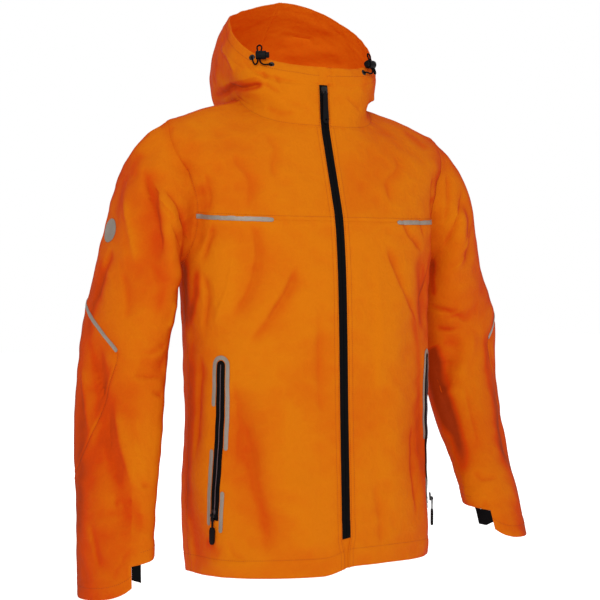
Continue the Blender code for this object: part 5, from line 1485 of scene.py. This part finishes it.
def add_underlap(net, grids, normals, painted_shade):
    """The short flap behind the front opening, below the zip's end."""
    end, edge = nearest(grids["level"], ZIP_END_LEVEL), nearest(grids["columns"], 1)
    sides = [grids["front_" + side][: end + 1, : edge + 1] for side in ("right", "left")]
    across = np.concatenate([sides[0][:, ::-1], sides[1]], axis=1)
    grid = np.arange(across.size).reshape(across.shape)
    squares = np.stack([grid[:-1, :-1], grid[:-1, 1:], grid[1:, 1:], grid[1:, :-1]], axis=-1)
    top = -CLOTH - TRIM_RISE
    mesh = wall("front_underlap_cloth", net.points[across.ravel()], normals[across.ravel()],
                squares.reshape(-1, 4), top, top - UNDERLAP_THICK,
                {"painted_shade": painted_shade[across.ravel()]}, 1)
    made = add_piece("front_underlap_cloth", mesh, ["orange cloth", "orange shaded"],
                     replaces=["front_underlap"])


def middle_line(net, grid, rows, columns):
    """The line midway between a grid's two rows."""
    return (net.points[grid[rows[0], columns]] + net.points[grid[rows[1], columns]]) / 2


def add_strips(net, grids, tree):
    """The reflective chest and elbow strips."""
    for side in SIGN:
        rows = [nearest(grids["level"], YOKE_LEVEL + k * STRIP_HALF) for k in (-1, 1)]
        columns = np.where(grids["columns"] >= 4 - 1e-9)[0]
        path = middle_line(net, grids["front_" + side], rows, columns)
        points, outs = strip_points(tree, path, STRIP_HALF, (True, False))
        mesh = laid_wall("chest_strip", points, outs, TRIM_RISE, TRIM_THICK, STRIP_CROWN)
        add_piece("chest_strip_" + side + "_tape", mesh, ["reflective grey"],
                  replaces=["chest_strip_" + side])
        steps, places = grids["sleeve_steps_" + side], grids["sleeve_columns_" + side]
        rows = [nearest(steps, ring) for ring in STRIP_RINGS]
        first = np.where((places >= PANEL_BACK_COLUMN - 1e-9) & (places < RING_POINTS - 1e-9))[0]
        second = np.where(places <= PANEL_FRONT_COLUMN + 1e-9)[0]
        columns = np.concatenate([first, second])
        path = middle_line(net, grids["sleeve_" + side], rows, columns)
        points, outs = strip_points(tree, path, ELBOW_STRIP_HALF, (True, True))
        mesh = laid_wall("elbow_strip", points, outs, TRIM_RISE, TRIM_THICK, STRIP_CROWN)
        add_piece("elbow_strip_" + side + "_tape", mesh, ["reflective grey"],
                  replaces=["elbow_strip_" + side])


def frame_on(origin, up, out):
    """A frame whose third direction is out, and whose second is as near to up as it can be."""
    out = out.normalized()
    across = up.cross(out).normalized()
    made = Matrix((across, out.cross(across), out)).transposed().to_4x4()
    made.translation = origin
    return made


PATCH = (3.98, 10, 0.0185)
PATCH_START = 0.02
PATCH_REACH = 0.05
POCKET_TOP = (-0.392, math.radians(59))
POCKET_FOOT = (-0.636, math.radians(63.5))
POCKET_TURN = math.radians(48)
TRIM_MIDDLE = 0.01145
TRIM_HALF = 0.00325
TOP_TRIM_BACK_LEG = 0.070
TOP_TRIM_FRONT_LEG = 0.135
LOW_TRIM_BACK = (0.135, 0.250)
LOW_TRIM_FRONT = (0.196, 0.258)
POCKET_START = 0.04
ZIP_PARTS = 60
TRIM_PARTS = {"arc": 16, "leg": 12, "bar": 20}
ZIP_TAPE_THICK = 0.0010
ZIP_TAPE_CROWN = [0.0, 0.0003, 0.0005, 0.0005, 0.0001, -0.0003, 0.0001, 0.0005, 0.0005, 0.0003, 0.0]
COIL_HALF = 0.0006
COIL_THICK = 0.0006
COIL_RISE = 0.0007
COIL_END = 0.006


def add_patch(tree):
    """The plain round patch on the right upper sleeve."""
    step, turn, radius = PATCH
    spot = sleeve_points("right", np.array([step]), np.radians([float(turn)]))[0]
    spot, out = tree.find_nearest(Vector(spot))[:2]
    lie = frame_on(spot, Vector((0, 0, 1)), out)
    across, up, out = (lie.col[k].to_3d() for k in range(3))
    points, outs = patch_points(tree, spot, across, up, out, radius)
    mesh = laid_wall("round_patch", points, outs, TRIM_RISE, TRIM_THICK)
    add_piece("round_patch_disc", mesh, ["reflective grey"], replaces=["round_patch"])


def add_pocket(tree, side):
    """A pocket's zip tape, coil and reflective trims, laid on the cloth."""
    top = Vector(body_points(POCKET_TOP[0], side, POCKET_TOP[1]))
    foot = Vector(body_points(POCKET_FOOT[0], side, POCKET_FOOT[1]))
    length = (top - foot).length
    sign = SIGN[side]
    out = Vector((sign * math.sin(POCKET_TURN), -math.cos(POCKET_TURN), 0))
    lie = frame_on(top, top - foot, out)
    out = lie.col[2].to_3d()

    def landed(places):
        path = []
        for u, v in places:
            start = lie @ Vector((u, v, POCKET_START))
            path.append(tree.ray_cast(start, -out, 2 * POCKET_START)[0])
        return path

    def lay(name, places, half, ends, thick, finish, crown):
        points, outs = strip_points(tree, landed(places), half, ends, len(crown))
        mesh = laid_wall(name, points, outs, TRIM_RISE, thick, crown)
        add_piece(name + "_" + side + "_laid", mesh, [finish], replaces=[name + "_" + side])

    down = [(0.0, -length * k / ZIP_PARTS) for k in range(ZIP_PARTS + 1)]
    lay("pocket_zip_tape", down, ZIP_HALF, (True, False), ZIP_TAPE_THICK, "black tape",
        ZIP_TAPE_CROWN)
    # The coil: a raised strip in the painted highlight's colour
    path = landed([(0.0, -COIL_END - (length - 2 * COIL_END) * k / ZIP_PARTS)
                   for k in range(ZIP_PARTS + 1)])
    points, outs = strip_points(tree, path, COIL_HALF, (False, False))
    mesh = laid_wall("coil", points, outs, TRIM_RISE + COIL_RISE, COIL_THICK, STRIP_CROWN)
    add_piece("pocket_zip_coil_" + side, mesh, ["painted coil highlight"])
    front = -sign
    arc = [math.pi * k / TRIM_PARTS["arc"] for k in range(TRIM_PARTS["arc"] + 1)]
    middle = -ZIP_HALF
    legs = {front: -TOP_TRIM_FRONT_LEG, -front: -TOP_TRIM_BACK_LEG}
    parts = TRIM_PARTS["leg"]
    loop = [(TRIM_MIDDLE, legs[1] + (middle - legs[1]) * k / parts) for k in range(parts)]
    loop += [(TRIM_MIDDLE * math.cos(t), middle + TRIM_MIDDLE * math.sin(t)) for t in arc]
    loop += [(-TRIM_MIDDLE, middle + (legs[-1] - middle) * k / parts) for k in range(1, parts + 1)]
    lay("pocket_trim_top", loop, TRIM_HALF, (True, True), TRIM_THICK, "reflective grey",
        STRIP_CROWN)
    parts = TRIM_PARTS["bar"]
    for name, hand, span in (("pocket_trim_front", front, LOW_TRIM_FRONT),
                             ("pocket_trim_back", -front, LOW_TRIM_BACK)):
        bar = [(hand * TRIM_MIDDLE, -span[0] + (span[0] - span[1]) * k / parts)
               for k in range(parts + 1)]
        lay(name, bar, TRIM_HALF, (True, True), TRIM_THICK, "reflective grey", STRIP_CROWN)


# The rounding of a hard piece's edges, and what counts as one point, as flat and as an edge
EDGE_ROUNDING = 0.00022
SAME_POINT = 0.00002
FLAT_ANGLE = math.radians(2)
EDGE_ANGLE = math.radians(40)


def add_fitting(node, body, finish):
    """A hard piece with softened edges, in place of its solid."""
    work = bmesh.new()
    work.from_mesh(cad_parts[node].data)
    bmesh.ops.remove_doubles(work, verts=work.verts, dist=SAME_POINT)
    bmesh.ops.dissolve_limit(work, angle_limit=FLAT_ANGLE, verts=work.verts,
                             edges=work.edges)
    sharp = [edge for edge in work.edges if len(edge.link_faces) == 2
             and edge.calc_face_angle(0.0) > EDGE_ANGLE]
    bmesh.ops.bevel(work, geom=sharp, offset=EDGE_ROUNDING, segments=2, profile=0.6,
                    affect="EDGES", clamp_overlap=True)
    mesh = bpy.data.meshes.new(node + "_finished")
    work.to_mesh(mesh)
    work.free()
    mesh.polygons.foreach_set("use_smooth", np.ones(len(mesh.polygons), bool))
    mesh.set_sharp_from_angle(angle=math.radians(35))
    return add_piece(node + "_finished", mesh, [finish], body, [node])


FITTINGS = {
    "main_slider": ("jacket", "black metal"),
    "main_pull": ("main_pull", "black plastic"),
    "pocket_slider_right": ("jacket", "black metal"),
    "pocket_slider_left": ("jacket", "black metal"),
    "pocket_pull_right": ("pocket_pull_right", "black plastic"),
    "pocket_pull_left": ("pocket_pull_left", "black plastic"),
    "cordlock_right": ("jacket", "black plastic"),
    "cordlock_left": ("jacket", "black plastic"),
    "cordlock_plunger_right": ("cordlock_plunger_right", "black plastic"),
    "cordlock_plunger_left": ("cordlock_plunger_left", "black plastic"),
    "eyelet_back_right": ("jacket", "black metal"),
    "eyelet_front_right": ("jacket", "black metal"),
    "eyelet_back_left": ("jacket", "black metal"),
    "eyelet_front_left": ("jacket", "black metal"),
}

# Routes of the hood cords, from the back eyelet through the cordlock to the front eyelet
CORD_ROUTES = {
    "right": [
        (-0.09853, -0.01983, 0.06663), (-0.10170, -0.02351, 0.06835), (-0.10328, -0.02536, 0.06921),
        (-0.10463, -0.02636, 0.07049), (-0.10464, -0.02816, 0.06865), (-0.10453, -0.02979, 0.06666),
        (-0.10419, -0.03300, 0.06263), (-0.10440, -0.03462, 0.05965), (-0.10400, -0.03634, 0.05678),
        (-0.10219, -0.03780, 0.05560), (-0.10000, -0.03865, 0.05743), (-0.09880, -0.03880, 0.06128),
        (-0.09831, -0.03827, 0.06447), (-0.09738, -0.03658, 0.06926), (-0.09639, -0.03496, 0.07405),
        (-0.09588, -0.03415, 0.07644), (-0.09650, -0.03310, 0.07850), (-0.09750, -0.03140, 0.08150),
        (-0.09680, -0.03050, 0.08550), (-0.09290, -0.03170, 0.08820), (-0.08980, -0.03430, 0.08550),
        (-0.09030, -0.03560, 0.08150), (-0.09210, -0.03570, 0.07850), (-0.09362, -0.03598, 0.07549),
        (-0.09461, -0.03761, 0.07070), (-0.09565, -0.03921, 0.06592), (-0.09610, -0.04004, 0.06352),
        (-0.09615, -0.04095, 0.06111), (-0.09521, -0.04219, 0.05909), (-0.09385, -0.04360, 0.05742),
        (-0.09192, -0.04488, 0.05634), (-0.08952, -0.04575, 0.05620), (-0.08705, -0.04639, 0.05657),
        (-0.08210, -0.04739, 0.05761), (-0.07958, -0.04767, 0.05800), (-0.07915, -0.04576, 0.05712),
        (-0.07817, -0.04358, 0.05615), (-0.07620, -0.03923, 0.05421)],
    "left": [
        (0.09845, -0.01989, 0.05890), (0.10175, -0.02358, 0.06063), (0.10340, -0.02543, 0.06149),
        (0.10472, -0.02653, 0.06254), (0.10468, -0.02834, 0.06065), (0.10454, -0.03002, 0.05864),
        (0.10430, -0.03335, 0.05461), (0.10430, -0.03507, 0.05165), (0.10340, -0.03660, 0.04930),
        (0.10150, -0.03800, 0.04900), (0.09940, -0.03860, 0.05180), (0.09846, -0.03830, 0.05561),
        (0.09812, -0.03754, 0.05906), (0.09713, -0.03592, 0.06395), (0.09610, -0.03434, 0.06884),
        (0.09557, -0.03355, 0.07129), (0.09620, -0.03230, 0.07350), (0.09700, -0.03070, 0.07650),
        (0.09620, -0.02990, 0.08050), (0.09250, -0.03140, 0.08320), (0.08940, -0.03390, 0.08050),
        (0.09000, -0.03510, 0.07650), (0.09180, -0.03510, 0.07350),
        (0.09365, -0.03589, 0.06894), (0.09467, -0.03747, 0.06404),
        (0.09575, -0.03903, 0.05915), (0.09623, -0.03983, 0.05670), (0.09632, -0.04073, 0.05424),
        (0.09543, -0.04198, 0.05215), (0.09412, -0.04344, 0.05041), (0.09219, -0.04479, 0.04932),
        (0.08975, -0.04569, 0.04935), (0.08727, -0.04633, 0.04992), (0.08234, -0.04733, 0.05140),
        (0.07982, -0.04764, 0.05204), (0.07925, -0.04586, 0.05120), (0.07819, -0.04367, 0.05023),
        (0.07606, -0.03929, 0.04827)],
}
CORD_DIAMETER = 0.0025
CORD_SPACING = 0.0011
CORD_EASING = 14


def rounded(route):
    """A line at an even spacing, with its bends eased."""
    line = evened(route, CORD_SPACING)[0]
    for _ in range(CORD_EASING):
        line[1:-1] = (line[:-2] + 2 * line[1:-1] + line[2:]) / 4
    return [tuple(float(v) for v in point) for point in line]


def add_cord(side):
    """A hood cord: one smooth line, round, with a braided cover."""
    route = rounded(CORD_ROUTES[side])
    curve = bpy.data.curves.new("hood_cord_" + side, "CURVE")
    curve.dimensions = "3D"
    curve.bevel_depth = CORD_DIAMETER / 2
    curve.bevel_resolution = 4
    curve.use_fill_caps = True
    spline = curve.splines.new("POLY")
    spline.points.add(len(route) - 1)
    for place, point in zip(spline.points, route):
        place.co = (*point, 1.0)
    curve.materials.append(FINISHES["black tape"])
    made = bpy.data.objects.new("hood_cord_" + side + "_braid", curve)
    bpy.context.scene.collection.objects.link(made)
    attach(made, "jacket")
    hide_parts("hood_cord_" + side)


EYELET_HOLE_RADIUS = 0.0034
EYELET_HOLE_DEPTH = 0.014


def cut_eyelets(hood, side):
    """Round holes in the hood behind its eyelets."""
    for where in ("back", "front"):
        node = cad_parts["eyelet_" + where + "_" + side]
        corners = np.array([v.co for v in node.data.vertices])
        middle = Vector((corners.max(0) + corners.min(0)) / 2)
        spread = corners - corners.mean(0)
        out = Vector(np.linalg.svd(spread, full_matrices=False)[2][2])
        tool = bpy.data.meshes.new("hole")
        work = bmesh.new()
        turn = out.to_track_quat("Z", "Y").to_matrix().to_4x4()
        bmesh.ops.create_cone(work, cap_ends=True, segments=20, radius1=EYELET_HOLE_RADIUS,
                              radius2=EYELET_HOLE_RADIUS, depth=EYELET_HOLE_DEPTH,
                              matrix=Matrix.Translation(middle) @ turn)
        work.to_mesh(tool)
        work.free()
        cutter = bpy.data.objects.new("hole", tool)
        bpy.context.scene.collection.objects.link(cutter)
        change = hood.modifiers.new("hole", "BOOLEAN")
        change.operation, change.solver, change.object = "DIFFERENCE", "EXACT", cutter
        graph = bpy.context.evaluated_depsgraph_get()
        graph.update()
        mesh = bpy.data.meshes.new_from_object(hood.evaluated_get(graph))
        hood.modifiers.clear()
        hood.data = mesh
        bpy.data.objects.remove(cutter, do_unlink=True)


# How far from its seam or edge each line of stitches runs
SEAM_STITCH = 0.0022
SECOND_ZIP_STITCH = 0.0075
YOKE_STITCH = 0.0060
ARMHOLE_STITCH = 0.0024
HEM_STITCH = 0.0275
RIM_STITCH = 0.015
CUFF_STITCH = 0.018


def body_stitches(net, grids, tree, side):
    """The stitch lines of one half of the body and hood."""
    level = grids["level"]
    front, back = grids["front_" + side], grids["back_" + side]
    armpit, yoke = nearest(level, ARMPIT_LEVEL), nearest(level, YOKE_LEVEL)
    tip, neck = nearest(level, TIP_LEVEL), nearest(level, NECK_LEVEL)
    zip_top = nearest(level, ZIP_TOP_LEVEL)
    lines = []

    def run(line, inner, away):
        lines.append(beside(net, tree, line, inner, away))

    for grid in (front, back):
        run(grid[0], grid[8], HEM_STITCH)
        run(grid[-1], grid[-6], RIM_STITCH)
    for away in (SEAM_STITCH, SECOND_ZIP_STITCH):
        run(front[:neck, 0], front[:neck, 6], away)
    run(front[neck:zip_top, 0], front[neck:zip_top, 6], SEAM_STITCH)
    for grid in (front, back):
        run(grid[yoke], grid[yoke + 6], SEAM_STITCH if grid is back else YOKE_STITCH)
        run(grid[neck], grid[neck + 4], SEAM_STITCH)
        run(grid[armpit:tip + 1, -1], grid[armpit:tip + 1, -6], ARMHOLE_STITCH)
    run(back[:armpit, -1], back[:armpit, -6], SEAM_STITCH)
    run(back[neck:, 0], back[neck:, 5], SEAM_STITCH)
    return lines


def sleeve_stitches(net, grids, tree, side):
    """The stitch lines of a sleeve: round its elbow panel and its cuff."""
    sleeve = grids["sleeve_" + side]
    steps, places = grids["sleeve_steps_" + side], grids["sleeve_columns_" + side]
    lines = []

    def run(line, inner, away):
        lines.append(beside(net, tree, line, inner, away))

    def across_top(first, last):
        columns = list(range(nearest(places, first), len(places) - 1))
        return columns + list(range(nearest(places, last) + 1))

    low, strip = nearest(steps, PANEL_LOW_RING), nearest(steps, STRIP_RINGS[1])
    around = across_top(PANEL_BACK_COLUMN, PANEL_FRONT_COLUMN)
    run(sleeve[low, around], sleeve[low + 5, around], SEAM_STITCH)
    for edge, inward in ((PANEL_FRONT_COLUMN, 4), (PANEL_BACK_COLUMN, -4)):
        column = nearest(places, edge)
        run(sleeve[strip:low, column], sleeve[strip:low, column + inward], SEAM_STITCH)
    flap = across_top(FLAP_BACK_COLUMN[side], FLAP_FRONT_COLUMN[side])
    run(sleeve[-1, flap], sleeve[-8, flap], CUFF_STITCH)
    bottom = nearest(steps, PALM_RING)
    palm = list(range(nearest(places, TAB_END_COLUMN[side]),
                      nearest(places, FLAP_BACK_COLUMN[side]) + 1))
    run(sleeve[bottom, palm], sleeve[bottom - 8, palm], CUFF_STITCH)
    return lines


def sew_seams(net, grids, trees):
    """All the topstitching, as lines along the seams and hems."""
    group = stitch_tree()
    body = []
    for side in SIGN:
        body += body_stitches(net, grids, trees["body"], side)
    sew("body_stitching", group, body)
    for side in SIGN:
        sew("sleeve_stitching_" + side, group, sleeve_stitches(net, grids, trees[side], side))


# The picture

VIEW_AZIMUTH = math.radians(-24)
VIEW_HEIGHT = math.radians(2.5)
VIEW_DISTANCE = 2.6
FOCAL_LENGTH = 98.7
AIM_HEIGHT = -0.306
AIM_ASIDE = 0.010
FLOOR_LEVEL = -0.84
FLOOR_HALF = 6.0
# Soft lights: place, what they point at, size and power
LIGHTS = {
    "front light": ((-1.5, -2.4, 1.1), (0, 0, -0.30), (1.3, 1.3), 50),
    "fill light": ((1.9, -1.6, 0.3), (0, 0, -0.35), (1.2, 1.8), 9),
    "top light": ((0.0, -0.5, 2.2), (0, 0, -0.2), (1.6, 1.6), 12),
    "back light": ((0.6, 2.6, 0.9), (0, 0, -0.3), (1.6, 1.6), 24),
}


def add_camera():
    """The camera at the photograph's angle."""
    away = Vector((math.sin(VIEW_AZIMUTH) * math.cos(VIEW_HEIGHT),
                   -math.cos(VIEW_AZIMUTH) * math.cos(VIEW_HEIGHT), math.sin(VIEW_HEIGHT)))
    right = Vector((math.cos(VIEW_AZIMUTH), math.sin(VIEW_AZIMUTH), 0))
    aim = Vector((0, 0, AIM_HEIGHT)) - right * AIM_ASIDE
    lens = bpy.data.cameras.new("camera")
    lens.lens, lens.sensor_width = FOCAL_LENGTH, 36.0
    made = bpy.data.objects.new("camera", lens)
    made.location = aim + away * VIEW_DISTANCE
    made.rotation_euler = (-away).to_track_quat("-Z", "Y").to_euler()
    bpy.context.scene.collection.objects.link(made)
    bpy.context.scene.camera = made


def add_softbox(name, place, aim, size, power):
    """A large soft light."""
    lamp = bpy.data.lights.new(name, "AREA")
    lamp.shape, lamp.size, lamp.size_y = "RECTANGLE", size[0], size[1]
    lamp.energy = power
    made = bpy.data.objects.new(name, lamp)
    made.location = place
    made.rotation_euler = (Vector(aim) - Vector(place)).to_track_quat("-Z", "Y").to_euler()
    bpy.context.scene.collection.objects.link(made)


def add_studio():
    """A plain white floor, a bright surround and soft lights from the front."""
    mesh = bpy.data.meshes.new("floor")
    corners = [(a * FLOOR_HALF, b * FLOOR_HALF, FLOOR_LEVEL)
               for a, b in ((-1, -1), (1, -1), (1, 1), (-1, 1))]
    mesh.from_pydata(corners, [], [(0, 1, 2, 3)])
    white, _, shader = blank("white floor")
    shader.inputs["Base Color"].default_value = (0.90, 0.90, 0.90, 1.0)
    shader.inputs["Emission Color"].default_value = (1.0, 1.0, 1.0, 1.0)
    shader.inputs["Emission Strength"].default_value = 0.55
    shader.inputs["Roughness"].default_value = 0.9
    shader.inputs["Specular IOR Level"].default_value = 0.1
    mesh.materials.append(white)
    floor = bpy.data.objects.new("floor", mesh)
    bpy.context.scene.collection.objects.link(floor)
    world = bpy.data.worlds.new("surround")
    world.use_nodes = True
    tree = world.node_tree
    soft = tree.nodes["Background"]
    soft.inputs["Color"].default_value = (1.0, 1.0, 1.0, 1.0)
    soft.inputs["Strength"].default_value = 0.55
    bright = tree.nodes.new("ShaderNodeBackground")
    bright.inputs["Color"].default_value = (1.0, 1.0, 1.0, 1.0)
    bright.inputs["Strength"].default_value = 1.0
    seen = tree.nodes.new("ShaderNodeLightPath")
    both = tree.nodes.new("ShaderNodeMixShader")
    tree.links.new(seen.outputs["Is Camera Ray"], both.inputs[0])
    tree.links.new(soft.outputs[0], both.inputs[1])
    tree.links.new(bright.outputs[0], both.inputs[2])
    tree.links.new(both.outputs[0], tree.nodes["World Output"].inputs["Surface"])
    bpy.context.scene.world = world
    for name, light in LIGHTS.items():
        add_softbox(name, *light)
    bpy.context.scene.view_settings.view_transform = "Standard"


add_camera()
FINISHES = make_finishes()
for side in SIGN:
    add_cord(side)
cloth = Net()
grids = add_body(cloth)
add_zip(cloth, grids)
for side in SIGN:
    add_sleeve(cloth, grids, side)
normals, folded, creased = shape_cloth(cloth, grids)
# Painted shade for every point of the cloth, carried to the pieces as an attribute
painted_shade = painted_shade_of(cloth.points, normals, folded, creased)
dressed = dress_cloth(cloth, normals, painted_shade)
add_underlap(cloth, grids, normals, painted_shade)
for side in SIGN:
    cut_eyelets(dressed["hood_" + side], side)
trees = {"body": surface_tree(cloth, [p for p in cloth.pieces if "sleeve" not in p
                                      and "elbow" not in p and "cuff" not in p])}
for side in SIGN:
    trees[side] = surface_tree(cloth, ["sleeve_" + side, "undersleeve_" + side,
                                       "elbow_panel_" + side])
whole = surface_tree(cloth, list(cloth.pieces))
add_strips(cloth, grids, whole)
add_patch(whole)
for side in SIGN:
    add_pocket(trees["body"], side)
for node, (body, finish) in FITTINGS.items():
    add_fitting(node, body, finish)
sew_seams(cloth, grids, trees)
add_studio()
